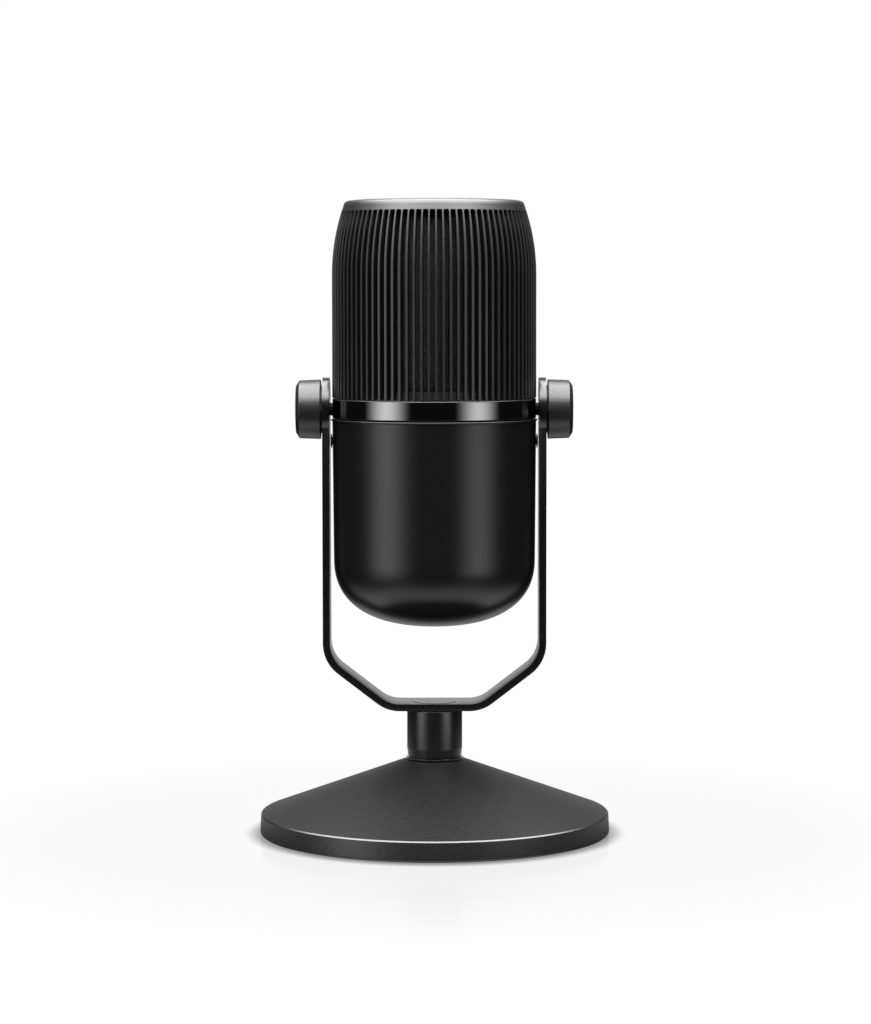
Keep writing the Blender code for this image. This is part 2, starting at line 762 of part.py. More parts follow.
def grille_outline(inset, steps):
    """The grille's outer side from the crown's edge down to its foot, moved in by inset."""
    top = GRILLE_TOP - inset
    centre = HEAD_RADIUS - GRILLE_CROWN_RADIUS
    radius = GRILLE_CROWN_RADIUS - inset
    round_start = top - GRILLE_TOP_ROUND
    end_angle = math.asin((round_start - GRILLE_CROWN_START) / radius)
    crown = arc((centre, GRILLE_CROWN_START), radius, end_angle, 0.0, steps)
    return [(crown[0][0] - GRILLE_TOP_ROUND, top), *crown]


def grille_cage():
    """A turned cap with upright slots cut through its wall, down to a collar behind the ring."""
    collar = HEAD_RADIUS - GRILLE_WALL + COLLAR_THICKNESS
    points = [
        (0.0, GRILLE_TOP),
        *grille_outline(0.0, 2),
        (HEAD_RADIUS, GRILLE_BOTTOM),
        (collar, GRILLE_BOTTOM),
        (collar, COLLAR_BOTTOM),
        (HEAD_RADIUS - GRILLE_WALL, COLLAR_BOTTOM),
        *reversed(grille_outline(GRILLE_WALL, 2)),
        (0.0, GRILLE_TOP - GRILLE_WALL),
    ]
    cage = turned_part("grille_cage", points, SLOT_COUNT, "head", satin_black())
    cage.rotation_euler = (0, 0, RIB_PHASE - math.pi / 2)
    low = GRILLE_BOTTOM - CLEAR / 3
    near = (SLOT_WIDTH + RIB_LEAST) * SLOT_COUNT / math.tau
    far = HEAD_RADIUS + GRILLE_WALL
    form = bmesh.new()
    for index in range(SLOT_COUNT):
        angle = math.tau * (index + 0.5) / SLOT_COUNT + RIB_PHASE - math.pi / 2
        place = (
            Matrix.Rotation(angle, 4, "Z")
            @ Matrix.Translation(((near + far) / 2, 0, (low + SLOT_TOP) / 2))
            @ Matrix.Diagonal((far - near, SLOT_WIDTH, SLOT_TOP - low, 1))
        )
        bmesh.ops.create_cube(form, size=1.0, matrix=place)
    cut(cage, add_cutter("grille_slots", mesh_of(form)))


def grille_mesh():
    """A fine woven sleeve, here a thin closed skin, behind the slots."""
    outer = GRILLE_WALL + CLEAR
    inner = outer + MESH_WALL
    bottom = CORE_TOP + CLEAR
    points = [
        (0.0, GRILLE_TOP - outer),
        *grille_outline(outer, 3),
        (HEAD_RADIUS - outer, bottom),
        (HEAD_RADIUS - inner, bottom),
        *reversed(grille_outline(inner, 3)),
        (0.0, GRILLE_TOP - inner),
    ]
    woven = paint("black_woven_steel", (0.02, 0.02, 0.02), 0.5, 1.0)
    turned_part("grille_mesh", points, MID_STEPS, "head", woven)


# ---- head: inside ----


def shell_screw_height():
    return PIVOT_HEIGHT - SHELL_SCREW_DROP


def shell_screw_seat():
    """The lower shell's outer radius where its screws sit."""
    share = (shell_screw_height() - SHELL_BELLY_HEIGHT) / (SHELL_TOP - SHELL_BELLY_HEIGHT)
    return SHELL_BELLY_RADIUS + (HEAD_RADIUS - SHELL_BELLY_RADIUS) * share


def core_frame():
    """A ring with a floor, bosses for the brass inserts, a bridge for the pick-up and two board legs."""
    points = [
        (CORE_RADIUS, CORE_TOP),
        (CORE_RADIUS, RING_BOTTOM),
        (CORE_RADIUS - CLEAR, RING_BOTTOM - CLEAR),
        (CORE_RADIUS - CLEAR, CORE_BOTTOM),
        (CORE_HOLE_RADIUS, CORE_BOTTOM),
        (CORE_HOLE_RADIUS, CORE_BOTTOM + CORE_FLOOR),
        (CORE_INNER_RADIUS, CORE_BOTTOM + CORE_FLOOR),
        (CORE_INNER_RADIUS, CORE_TOP),
    ]
    plastic = paint("black_nylon", (0.03, 0.03, 0.03), 0.6)
    core = turned_part("core_frame", points, BIG_STEPS, "head", plastic, closed=True)
    bridge = box_mesh(2 * CORE_INNER_RADIUS + CORE_WALL, BRIDGE_WIDTH, BRIDGE_THICKNESS)
    join(core, add_cutter("bridge", bridge, at(0, 0, BRIDGE_TOP - BRIDGE_THICKNESS)))
    boss_start = CORE_RADIUS - 2 * CLEAR - INSERT_LENGTH - CORE_WALL / 2
    boss_length = CORE_INNER_RADIUS + CORE_WALL / 2 - boss_start
    for side, turn_to, sign in (("left", along_minus_x, -1), ("right", along_x, 1)):
        boss = cylinder_mesh(INSERT_BOSS_RADIUS, boss_length, SMALL_STEPS)
        join(core, add_cutter(f"insert_boss_{side}", boss, turn_to(sign * boss_start, 0, PIVOT_HEIGHT)))
        hole_start = insert_start() - CLEAR
        hole = cylinder_mesh(INSERT_RADIUS + CLEAR, CORE_RADIUS + CLEAR - hole_start, SMALL_STEPS)
        cut(core, add_cutter(f"insert_hole_{side}", hole, turn_to(sign * hole_start, 0, PIVOT_HEIGHT)))
    leg_top = CORE_BOTTOM + CORE_FLOOR / 2
    leg_bottom = BOARD_TOP - BOARD_HEIGHT
    leg_y = BOARD_FRONT - CLEAR - LEG_DEPTH / 2
    for side, sign in (("left", -1), ("right", 1)):
        leg = box_mesh(LEG_WIDTH, LEG_DEPTH, leg_top - leg_bottom)
        join(core, add_cutter(f"board_leg_{side}", leg, at(sign * LEG_SPACING / 2, leg_y, leg_bottom)))
    for index, (x, z) in enumerate(board_screw_places()):
        hole = cylinder_mesh(BOARD_SCREW_RADIUS + CLEAR, LEG_DEPTH, TINY_STEPS)
        start = BOARD_FRONT - LEG_DEPTH * 0.75
        cut(core, add_cutter(f"board_screw_hole_{index}", hole, along_y(x, start, z)))
    for side, turn_to, sign in (("left", along_minus_x, -1), ("right", along_x, 1)):
        start = CORE_INNER_RADIUS - CLEAR
        hole = cylinder_mesh(SMALL_SCREW_RADIUS + CLEAR, CORE_WALL + 3 * CLEAR, TINY_STEPS)
        cut(core, add_cutter(f"shell_thread_{side}", hole, turn_to(sign * start, 0, shell_screw_height())))
    wire_hole = cylinder_mesh(LEAD_RADIUS + 3 * CLEAR, 2 * BRIDGE_THICKNESS, SMALL_STEPS)
    cut(core, add_cutter("wire_hole", wire_hole, at(0, lead_y(), BRIDGE_TOP - 1.5 * BRIDGE_THICKNESS)))


def shell_screws():
    """Their low heads sit in the small gap behind the yoke's arms."""
    head_height = YOKE_ARM_GAP / 2
    length = SHELL_WALL + CORE_WALL - CLEAR
    points = screw_points(SMALL_SCREW_RADIUS, length, SMALL_SCREW_HEAD_RADIUS, head_height)
    for side, turn_to, sign in (("left", along_minus_x, -1), ("right", along_x, 1)):
        seat = sign * (shell_screw_seat() + CLEAR / 2)
        place = turn_to(seat, 0, shell_screw_height())
        turned_part(f"shell_screw_{side}", points, TINY_STEPS, "head", steel(), place)


def insert_start():
    return CORE_RADIUS - CLEAR - INSERT_LENGTH


def inserts():
    """Brass threads moulded into the core frame, for the knobs' screws."""
    brass = paint("brass", (0.7, 0.5, 0.2), 0.3, 1.0)
    points = tube_points(KNOB_SCREW_RADIUS + CLEAR, INSERT_RADIUS, 0.0, INSERT_LENGTH)
    for side, turn_to, sign in (("left", along_minus_x, -1), ("right", along_x, 1)):
        place = turn_to(sign * insert_start(), 0, PIVOT_HEIGHT)
        turned_part(f"{side}_insert", points, SMALL_STEPS, "head", brass, place, closed=True)


def cradle_radius():
    return CAPSULE_RADIUS + CLEAR + CRADLE_WALL


def cradle_half_depth():
    return CRADLE_WEB / 2 + CLEAR + CAPSULE_DEPTH


def capsule_mount():
    """A soft bush that keeps knocks on the table out of the pick-up."""
    bottom = BRIDGE_TOP + CLEAR
    bore = CRADLE_POST_RADIUS + CLEAR
    rubber = paint("grey_rubber", (0.1, 0.1, 0.1), 0.85)
    waist = MOUNT_RADIUS - MOUNT_GROOVE
    points = [
        (MOUNT_RADIUS, bottom + MOUNT_HEIGHT),
        (MOUNT_RADIUS, bottom + MOUNT_HEIGHT * 0.65),
        (waist, bottom + MOUNT_HEIGHT * 0.5),
        (MOUNT_RADIUS, bottom + MOUNT_HEIGHT * 0.35),
        (MOUNT_RADIUS, bottom),
        (0.0, bottom),
    ]
    floor = bottom + MOUNT_FLOOR
    points = [(bore, floor), (bore, bottom + MOUNT_HEIGHT), *points]
    turned_part("capsule_mount", [(0.0, floor), *points], SMALL_STEPS, "head", rubber)


def capsule_cradle():
    """A post with a drum that holds one capsule in each face."""
    drum = cylinder_mesh(cradle_radius(), 2 * cradle_half_depth(), MID_STEPS)
    plastic = paint("black_nylon", (0.03, 0.03, 0.03), 0.6)
    place = along_y(0, -cradle_half_depth(), CAPSULE_HEIGHT)
    cradle = add_part("capsule_cradle", drum, "head", plastic, place)
    post_bottom = BRIDGE_TOP + 2 * CLEAR + MOUNT_FLOOR
    post_top = CAPSULE_HEIGHT - CAPSULE_RADIUS - CRADLE_WALL / 2 - CLEAR
    post = cylinder_mesh(CRADLE_POST_RADIUS, post_top - post_bottom, SMALL_STEPS)
    join(cradle, add_cutter("cradle_post", post, at(0, 0, post_bottom)))
    for side, turn_to, sign in (("front", along_minus_y, -1), ("rear", along_y, 1)):
        pocket = cylinder_mesh(CAPSULE_RADIUS + CLEAR, CAPSULE_DEPTH * 2, MID_STEPS)
        place = turn_to(0, sign * CRADLE_WEB / 2, CAPSULE_HEIGHT)
        cut(cradle, add_cutter(f"{side}_pocket", pocket, place))


def capsules():
    """Brass cans with a stepped front edge."""
    can = paint("capsule_can", (0.6, 0.58, 0.5), 0.35, 1.0)
    step = CAPSULE_DEPTH * 0.25
    points = [
        (0.0, CAPSULE_DEPTH),
        (CAPSULE_RADIUS * 0.8, CAPSULE_DEPTH),
        (CAPSULE_RADIUS, CAPSULE_DEPTH - step),
        (CAPSULE_RADIUS, 0.0),
        (0.0, 0.0),
    ]
    for side, turn_to, sign in (("front", along_minus_y, -1), ("rear", along_y, 1)):
        place = turn_to(0, sign * (CRADLE_WEB / 2 + CLEAR), CAPSULE_HEIGHT)
        turned_part(f"{side}_capsule", points, SMALL_STEPS, "head", can, place)


def lead_y():
    """The lead goes down just behind the soft bush."""
    return MOUNT_RADIUS + LEAD_RADIUS + CLEAR


def smooth_line(points, count):
    """Points on a smooth curve through the given ones, a Catmull-Rom spline."""
    ends = [points[0] * 2 - points[1], *points, points[-1] * 2 - points[-2]]
    line = []
    for index in range(len(points) - 1):
        a, b, c, d = ends[index : index + 4]
        for step in range(count):
            t = step / count
            square = 2 * a - 5 * b + 4 * c - d
            cube = 3 * b - a - 3 * c + d
            line.append((2 * b + (c - a) * t + square * t**2 + cube * t**3) / 2)
    return [*line, points[-1]]


def capsule_lead():
    """A thin wire from the cradle's drum, down through the bridge and the floor, to the board's face."""
    end_z = BOARD_TOP - BOARD_HEIGHT * 0.2
    end_y = BOARD_FRONT - CLEAR - LEAD_RADIUS
    drum_bottom = CAPSULE_HEIGHT - cradle_radius()
    route = [
        Vector((0, lead_y(), drum_bottom - CLEAR)),
        Vector((0, lead_y(), drum_bottom - LEAD_STRAIGHT)),
        Vector((0, lead_y(), BRIDGE_TOP)),
        Vector((0, CORE_HOLE_RADIUS * 0.7, CORE_BOTTOM)),
        Vector((0, end_y - 3 * LEAD_RADIUS, end_z + 6 * LEAD_RADIUS)),
        Vector((0, end_y, end_z)),
    ]
    points = smooth_line(route, 5)
    wire = bpy.data.curves.new("capsule_lead", "CURVE")
    wire.dimensions = "3D"
    wire.bevel_depth = LEAD_RADIUS
    wire.bevel_resolution = 1
    wire.use_fill_caps = True
    spline = wire.splines.new("POLY")
    spline.points.add(len(points) - 1)
    for spot, point in zip(spline.points, points):
        spot.co = (*point, 1.0)
    lead = bpy.data.objects.new("capsule_lead", wire)
    wire.materials.append(paint("red_pvc", (0.35, 0.02, 0.02), 0.5))
    PARTS.objects.link(lead)
    lead.parent = BODIES["head"]
    lead.matrix_parent_inverse = Matrix.Translation(-BODIES["head"].location)


# ---- circuit board ----


def board_screw_places():
    x = LEG_SPACING / 2
    high = BOARD_TOP - BOARD_SCREW_INSET
    low = BOARD_TOP - BOARD_HEIGHT + BOARD_SCREW_INSET
    return [(-x, high), (x, high), (-x, low), (x, low)]


def main_board():
    """It stands upright behind the legs, with its chips in front."""
    green = paint("black_solder_mask", (0.01, 0.03, 0.015), 0.4)
    slab = box_mesh(BOARD_WIDTH, BOARD_HEIGHT, BOARD_THICKNESS)
    place = along_y(0, BOARD_FRONT, BOARD_TOP - BOARD_HEIGHT / 2)
    board = add_part("main_board", slab, "head", green, place)
    chip = box_mesh(CHIP_SIZE, CHIP_SIZE, CHIP_HEIGHT + BOARD_THICKNESS / 2)
    chip_place = along_minus_y(0, BOARD_FRONT + BOARD_THICKNESS / 2, BOARD_TOP - BOARD_HEIGHT * 0.4)
    join(board, add_cutter("sound_chip", chip, chip_place))
    for index, (x, z) in enumerate(board_screw_places()):
        hole = cylinder_mesh(BOARD_SCREW_RADIUS + CLEAR, 3 * BOARD_THICKNESS, TINY_STEPS)
        start = BOARD_FRONT - BOARD_THICKNESS
        cut(board, add_cutter(f"board_hole_{index}", hole, along_y(x, start, z)))


def board_screws():
    length = BOARD_THICKNESS + LEG_DEPTH * 0.65
    points = screw_points(BOARD_SCREW_RADIUS, length, BOARD_SCREW_HEAD_RADIUS, BOARD_SCREW_HEAD_HEIGHT)
    for index, (x, z) in enumerate(board_screw_places()):
        place = along_y(x, BOARD_REAR + CLEAR, z)
        turned_part(f"board_screw_{index + 1}", points, TINY_STEPS, "head", steel(), place)


def usb_socket():
    """A plain metal shroud with its mouth just inside the rear wall."""
    start = BOARD_REAR + CLEAR
    mouth = REAR_WALL_OUTER - USB_INSET
    tin = paint("tin_plate", (0.6, 0.6, 0.6), 0.3, 1.0)
    place = along_y(-INLET_SPACING / 2, start, INLET_HEIGHT)
    socket = add_part("usb_socket", box_mesh(USB_WIDTH, USB_THICKNESS, mouth - start), "head", tin, place)
    depth = (mouth - start) * 0.8
    hollow = box_mesh(USB_WIDTH - 2 * USB_WALL, USB_THICKNESS - 2 * USB_WALL, depth)
    hollow_place = along_minus_y(-INLET_SPACING / 2, mouth + CLEAR, INLET_HEIGHT)
    cut(socket, add_cutter("usb_hollow", hollow, hollow_place))


def headphone_jack():
    start = BOARD_REAR + CLEAR
    mouth = REAR_WALL_OUTER - JACK_INSET
    length = mouth - start
    plastic = paint("black_nylon", (0.03, 0.03, 0.03), 0.6)
    points = [
        (JACK_BORE_RADIUS, JACK_FLOOR),
        (JACK_BORE_RADIUS, length),
        (JACK_RADIUS, length),
        (JACK_RADIUS, length * 0.55),
        (JACK_RADIUS * 1.25, length * 0.55),
        (JACK_RADIUS * 1.25, 0.0),
        (0.0, 0.0),
    ]
    place = along_y(INLET_SPACING / 2, start, INLET_HEIGHT)
    turned_part("headphone_jack", [(0.0, JACK_FLOOR), *points], SMALL_STEPS, "head", plastic, place)


# ---- rear controls ----


def pot_end():
    """The bushing ends flush with the shell's rear wall."""
    return REAR_WALL_OUTER - BOARD_REAR - CLEAR


def gain_pot():
    start = BOARD_REAR + CLEAR
    tin = paint("tin_plate", (0.6, 0.6, 0.6), 0.3, 1.0)
    place = along_y(0, start, DIAL_HEIGHT)
    pot = add_part("gain_pot", box_mesh(POT_SIZE, POT_SIZE, POT_DEPTH), "head", tin, place)
    bushing = cylinder_mesh(POT_BUSHING_RADIUS, pot_end() - POT_DEPTH / 2, SMALL_STEPS)
    bushing_start = start + POT_DEPTH / 2
    join(pot, add_cutter("pot_bushing", bushing, along_y(0, bushing_start, DIAL_HEIGHT)))
    bore = cylinder_mesh(SHAFT_RADIUS + CLEAR / 2, pot_end(), SMALL_STEPS)
    cut(pot, add_cutter("pot_bore", bore, along_y(0, shaft_start() - CLEAR, DIAL_HEIGHT)))


def shaft_start():
    return BOARD_REAR + POT_DEPTH * 0.4


def dial_start():
    return HEAD_RADIUS + 2 * CLEAR


def gain_shaft():
    length = dial_start() + DIAL_LENGTH * 0.7 - shaft_start()
    shaft = cylinder_mesh(SHAFT_RADIUS, length, SMALL_STEPS)
    add_part("gain_shaft", shaft, "gain_dial", steel(), along_y(0, shaft_start(), DIAL_HEIGHT))


def gain_dial():
    """A turned cap with a blind bore for the shaft."""
    bore = SHAFT_RADIUS + CLEAR / 2
    floor = DIAL_LENGTH * 0.7 + CLEAR
    points = [
        (0.0, DIAL_LENGTH),
        (DIAL_RADIUS * 0.86, DIAL_LENGTH),
        (DIAL_RADIUS * 0.96, DIAL_LENGTH * 0.92),
        (DIAL_RADIUS, 0.0),
        (bore, 0.0),
        (bore, floor),
        (0.0, floor),
    ]
    place = along_y(0, dial_start(), DIAL_HEIGHT)
    dial = turned_part("gain_dial", points, MID_STEPS, "gain_dial", satin_black(), place)
    notch = box_mesh(DIAL_NOTCH_WIDTH, DIAL_RADIUS, 2 * DIAL_NOTCH_DEPTH)
    notch_start = dial_start() + DIAL_LENGTH - DIAL_NOTCH_DEPTH
    notch_place = along_y(0, notch_start, DIAL_HEIGHT + DIAL_RADIUS * 0.75)
    cut(dial, add_cutter("dial_notch", notch, notch_place))


def button_back():
    """Where the button's flange ends, towards the board."""
    return REAR_WALL_INNER - BUTTON_FLANGE_GAP - BUTTON_FLANGE


def mute_button():
    length = REAR_WALL_OUTER + BUTTON_PROUD - button_back()
    points = [
        (0.0, length),
        (BUTTON_RADIUS * 0.85, length),
        (BUTTON_RADIUS, length - BUTTON_RADIUS * 0.15),
        (BUTTON_RADIUS, BUTTON_FLANGE),
        (BUTTON_FLANGE_RADIUS, BUTTON_FLANGE),
        (BUTTON_FLANGE_RADIUS, 0.0),
        (0.0, 0.0),
    ]
    place = along_y(0, button_back(), BUTTON_HEIGHT)
    turned_part("mute_button", points, SMALL_STEPS, "mute_button", satin_black(), place)


def mute_switch():
    """A tact switch whose stem ends where the pressed button stops."""
    start = BOARD_REAR + CLEAR
    plastic = paint("black_nylon", (0.03, 0.03, 0.03), 0.6)
    place = along_y(0, start, BUTTON_HEIGHT)
    body = add_part("mute_switch", box_mesh(SWITCH_SIZE, SWITCH_SIZE, SWITCH_DEPTH), "head", plastic, place)
    stem_start = start + SWITCH_DEPTH / 2
    stem_length = button_back() - BUTTON_TRAVEL - CLEAR / 2 - stem_start
    stem = cylinder_mesh(SWITCH_STEM_RADIUS, stem_length, TINY_STEPS)
    join(body, add_cutter("switch_stem", stem, along_y(0, stem_start, BUTTON_HEIGHT)))


# ---- knobs ----


def knob_start():
    return ARM_OUTER + KNOB_STAND_OFF


def knob_washer_start():
    return ARM_OUTER + CLEAR


def knobs():
    """On each side a washer, a screw and a round knob moulded round the screw's head."""
    bore = KNOB_SCREW_RADIUS + CLEAR
    recess = KNOB_WASHER_RADIUS + CLEAR
    recess_floor = knob_washer_start() + KNOB_WASHER_THICKNESS + CLEAR - knob_start()
    head_end = KNOB_LENGTH - KNOB_CAP
    head_start = head_end - KNOB_SCREW_HEAD_LENGTH
    pocket = KNOB_SCREW_HEAD_RADIUS + CLEAR
    knob_points = [
        (0.0, KNOB_LENGTH),
        (KNOB_OUTER_RADIUS - KNOB_CHAMFER_DEPTH, KNOB_LENGTH),
        (KNOB_OUTER_RADIUS, KNOB_LENGTH - KNOB_CHAMFER_LENGTH),
        (KNOB_RADIUS, 0.0),
        (recess, 0.0),
        (recess, recess_floor),
        (bore, recess_floor),
        (bore, head_start - CLEAR),
        (pocket, head_start - CLEAR),
        (pocket, head_end + CLEAR),
        (0.0, head_end + CLEAR),
    ]
    tip = insert_start() + CLEAR - knob_start()
    screw_profile = [
        (0.0, head_end),
        (KNOB_SCREW_HEAD_RADIUS, head_end),
        (KNOB_SCREW_HEAD_RADIUS, head_start),
        (KNOB_SCREW_RADIUS, head_start),
        (KNOB_SCREW_RADIUS, tip),
        (0.0, tip),
    ]
    nylon = paint("black_nylon", (0.03, 0.03, 0.03), 0.6)
    for side, turn_to, sign in (("left", along_minus_x, -1), ("right", along_x, 1)):
        knob_place = turn_to(sign * knob_start(), 0, PIVOT_HEIGHT)
        body = f"{side}_knob"
        turned_part(f"{side}_knob", knob_points, MID_STEPS, body, satin_black(), knob_place)
        turned_part(f"{side}_knob_screw", screw_profile, SMALL_STEPS, body, steel(), knob_place)
        washer = tube_points(bore, KNOB_WASHER_RADIUS, 0.0, KNOB_WASHER_THICKNESS)
        washer_place = turn_to(sign * knob_washer_start(), 0, PIVOT_HEIGHT)
        turned_part(
            f"{side}_knob_washer", washer, SMALL_STEPS, f"{side}_clamp", nylon, washer_place, closed=True
        )


def add_bodies():
    add_body("base", Vector((0, 0, 0)))
    add_body("yoke", Vector((0, 0, YOKE_UNDERSIDE)))
    add_body("head", Vector((0, 0, PIVOT_HEIGHT)))
    for side, sign in (("left", -1), ("right", 1)):
        add_body(f"{side}_clamp", Vector((sign * ARM_OUTER, 0, PIVOT_HEIGHT)))
        add_body(f"{side}_knob", Vector((sign * knob_start(), 0, PIVOT_HEIGHT)))
    add_body("gain_dial", Vector((0, dial_start(), DIAL_HEIGHT)))
    add_body("mute_button", Vector((0, REAR_WALL_OUTER, BUTTON_HEIGHT)))


clear_scene()
add_bodies()
base_cover()
base_screws()
base_plate()
base_pad()
base_weight()
neck_trim()
neck_sleeve()
swivel_washer()
yoke_bolt()
bolt_nut()
bolt_washer()
yoke_bracket()
center_ring()
lower_shell()
grille_cage()
grille_mesh()
core_frame()
shell_screws()
inserts()
capsule_mount()
capsule_cradle()
capsules()
capsule_lead()
main_board()
board_screws()
usb_socket()
headphone_jack()
gain_pot()
gain_shaft()
gain_dial()
mute_button()
mute_switch()
knobs()
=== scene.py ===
import math

import bmesh
import bpy
from mathutils import Matrix, Vector


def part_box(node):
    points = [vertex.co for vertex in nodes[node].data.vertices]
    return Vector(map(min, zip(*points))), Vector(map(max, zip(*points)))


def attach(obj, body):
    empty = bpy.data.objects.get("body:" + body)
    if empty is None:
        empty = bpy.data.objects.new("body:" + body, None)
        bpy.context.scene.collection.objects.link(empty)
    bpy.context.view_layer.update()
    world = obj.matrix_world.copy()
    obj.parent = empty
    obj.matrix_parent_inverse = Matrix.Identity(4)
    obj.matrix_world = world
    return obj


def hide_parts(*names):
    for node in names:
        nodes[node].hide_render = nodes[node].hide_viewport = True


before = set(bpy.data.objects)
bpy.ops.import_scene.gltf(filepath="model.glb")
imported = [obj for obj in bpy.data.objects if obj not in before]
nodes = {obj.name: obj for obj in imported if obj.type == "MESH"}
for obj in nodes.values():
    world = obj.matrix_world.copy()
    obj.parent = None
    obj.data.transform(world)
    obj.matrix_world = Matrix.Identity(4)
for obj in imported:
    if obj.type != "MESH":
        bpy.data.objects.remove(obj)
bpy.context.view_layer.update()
mm = 0.001


# ---------------------------------------------------------------------------------------------
# Base pad and ballast. Under the base lies a disc of closed-cell rubber foam, die cut and stuck
# to a zinc-plated steel plate, and over the plate sits a rough cast-iron weight. Foam is dead
# matt with tiny open pores, and the cast iron is dark and uneven.


def linear(hex_colour):
    """An sRGB hex colour as the linear RGBA that shaders take."""
    channels = [int(hex_colour[i : i + 2], 16) / 255 for i in (1, 3, 5)]
    return tuple(c / 12.92 if c <= 0.04045 else ((c + 0.055) / 1.055) ** 2.4 for c in channels) + (1.0,)


def add_node(tree, kind, values=None, links=None, **settings):
    """A node with its settings, its unlinked inputs' values and its links."""
    node = tree.nodes.new(kind)
    for name, value in settings.items():
        setattr(node, name, value)
    for socket, value in (values or {}).items():
        node.inputs[socket].default_value = value
    for socket, source in (links or {}).items():
        tree.links.new(source, node.inputs[socket])
    return node


def finish(name, colour, roughness, metallic=0.0, **sockets):
    """A material with its Principled shader set; returns it, its node tree and its shader."""
    material = bpy.data.materials.new(name)
    material.use_nodes = True
    tree = material.node_tree
    shader = tree.nodes["Principled BSDF"]
    shader.inputs["Base Color"].default_value = linear(colour)
    shader.inputs["Roughness"].default_value = roughness
    shader.inputs["Metallic"].default_value = metallic
    for socket, value in sockets.items():
        shader.inputs[socket.replace("_", " ")].default_value = value
    return material, tree, shader


def grained(tree, shader, grain, depth, colours=None, roughness=None, detail=2.0):
    """A surface's grain: noise of that size and depth, in metres, as bump, colour and roughness."""
    place = add_node(tree, "ShaderNodeTexCoord")
    noise = add_node(
        tree,
        "ShaderNodeTexNoise",
        {"Scale": 0.5 / grain, "Detail": detail, "Roughness": 0.55},
        {"Vector": place.outputs["Object"]},
    )
    bump = add_node(
        tree,
        "ShaderNodeBump",
        {"Strength": 1.0, "Distance": depth},
        {"Height": noise.outputs["Fac"]},
    )
    tree.links.new(bump.outputs["Normal"], shader.inputs["Normal"])
    if colours:
        ramp = add_node(tree, "ShaderNodeValToRGB", links={"Fac": noise.outputs["Fac"]})
        ramp.color_ramp.elements[0].position = 0.35
        ramp.color_ramp.elements[0].color = linear(colours[0])
        ramp.color_ramp.elements[1].position = 0.65
        ramp.color_ramp.elements[1].color = linear(colours[1])
        tree.links.new(ramp.outputs["Color"], shader.inputs["Base Color"])
    if roughness:
        spread = add_node(
            tree,
            "ShaderNodeMapRange",
            {"From Min": 0.3, "From Max": 0.7, "To Min": roughness[0], "To Max": roughness[1]},
            {"Value": noise.outputs["Fac"]},
        )
        tree.links.new(spread.outputs["Result"], shader.inputs["Roughness"])


def dress(material, *names):
    """Gives CAD nodes their material."""
    for name in names:
        nodes[name].data.materials.clear()
        nodes[name].data.materials.append(material)


# Foam rubber drinks the light: near black, with no highlight and only a faint open-pored mottle.
foam_rubber, tree, shader = finish("closed_cell_foam_rubber", "#1a1a1b", 0.95)
grained(tree, shader, 0.25 * mm, 0.06 * mm, ("#131313", "#242425"))
dress(foam_rubber, "base_pad")

# Cast iron is a dull grey-brown metal, lumpy from the sand mould, with blurred highlights.
cast_iron, tree, shader = finish("rough_cast_iron", "#3a3836", 0.7, 0.9)
grained(tree, shader, 0.6 * mm, 0.2 * mm, ("#2a2826", "#4a4643"), (0.6, 0.85), detail=4.0)
dress(cast_iron, "base_weight")

# Zinc plate is a bright bluish grey with faint cloudy spangles. The nut, its washer, the dial's
# shaft and the screws of the base and the circuit board have it too.
zinc_plate, tree, shader = finish("zinc_plated_steel", "#a9abae", 0.35, 1.0)
grained(tree, shader, 1.2 * mm, 0.01 * mm, ("#9a9da2", "#b9bbbd"), (0.28, 0.45))
dress(zinc_plate, "base_plate", "bolt_nut", "bolt_washer", "gain_shaft")
dress(zinc_plate, "base_screw_1", "base_screw_2", "base_screw_3", "base_screw_4")
dress(zinc_plate, "board_screw_1", "board_screw_2", "board_screw_3", "board_screw_4")

# Black oxide leaves the steel's own sheen under a thin near-black skin.
black_oxide, tree, shader = finish("black_oxide_steel", "#151516", 0.45, 0.9)
grained(tree, shader, 0.5 * mm, 0.006 * mm, ("#121213", "#1a1a1b"), (0.38, 0.52))
dress(black_oxide, "yoke_bolt", "left_knob_screw", "right_knob_screw")
dress(black_oxide, "shell_screw_left", "shell_screw_right")


# ---------------------------------------------------------------------------------------------
# Base cover. A zinc die casting, turned on the rim and powder coated black. The cone has a fine
# pebbled grain that breaks highlights into dust. From its chamfer down, the rim is smooth satin.


def rounded(corners, steps=4):
    """The points of an outline whose corners, (radius, height, rounding), are rounded with arcs.
    A point just outside each end of an arc keeps the shading of the flats beside it flat."""
    points = []
    last = len(corners) - 1
    for index, (radius, height, rounding) in enumerate(corners):
        corner = Vector((radius, height))
        if rounding <= 0 or index in (0, last):
            points.append((radius, height))
            continue
        before = (Vector(corners[index - 1][:2]) - corner).normalized()
        after = (Vector(corners[index + 1][:2]) - corner).normalized()
        half = before.angle(after) / 2
        reach = rounding / math.tan(half)
        centre = corner + (before + after).normalized() * rounding / math.sin(half)
        start = corner + before * reach - centre
        end = corner + after * reach - centre
        turn = start.angle_signed(end)
        margin = reach + 0.12 * rounding
        points.append(tuple(corner + before * margin))
        for step in range(steps + 1):
            arm = Matrix.Rotation(-turn * step / steps, 2) @ start
            points.append(tuple(centre + arm))
        points.append(tuple(corner + after * margin))
    return points


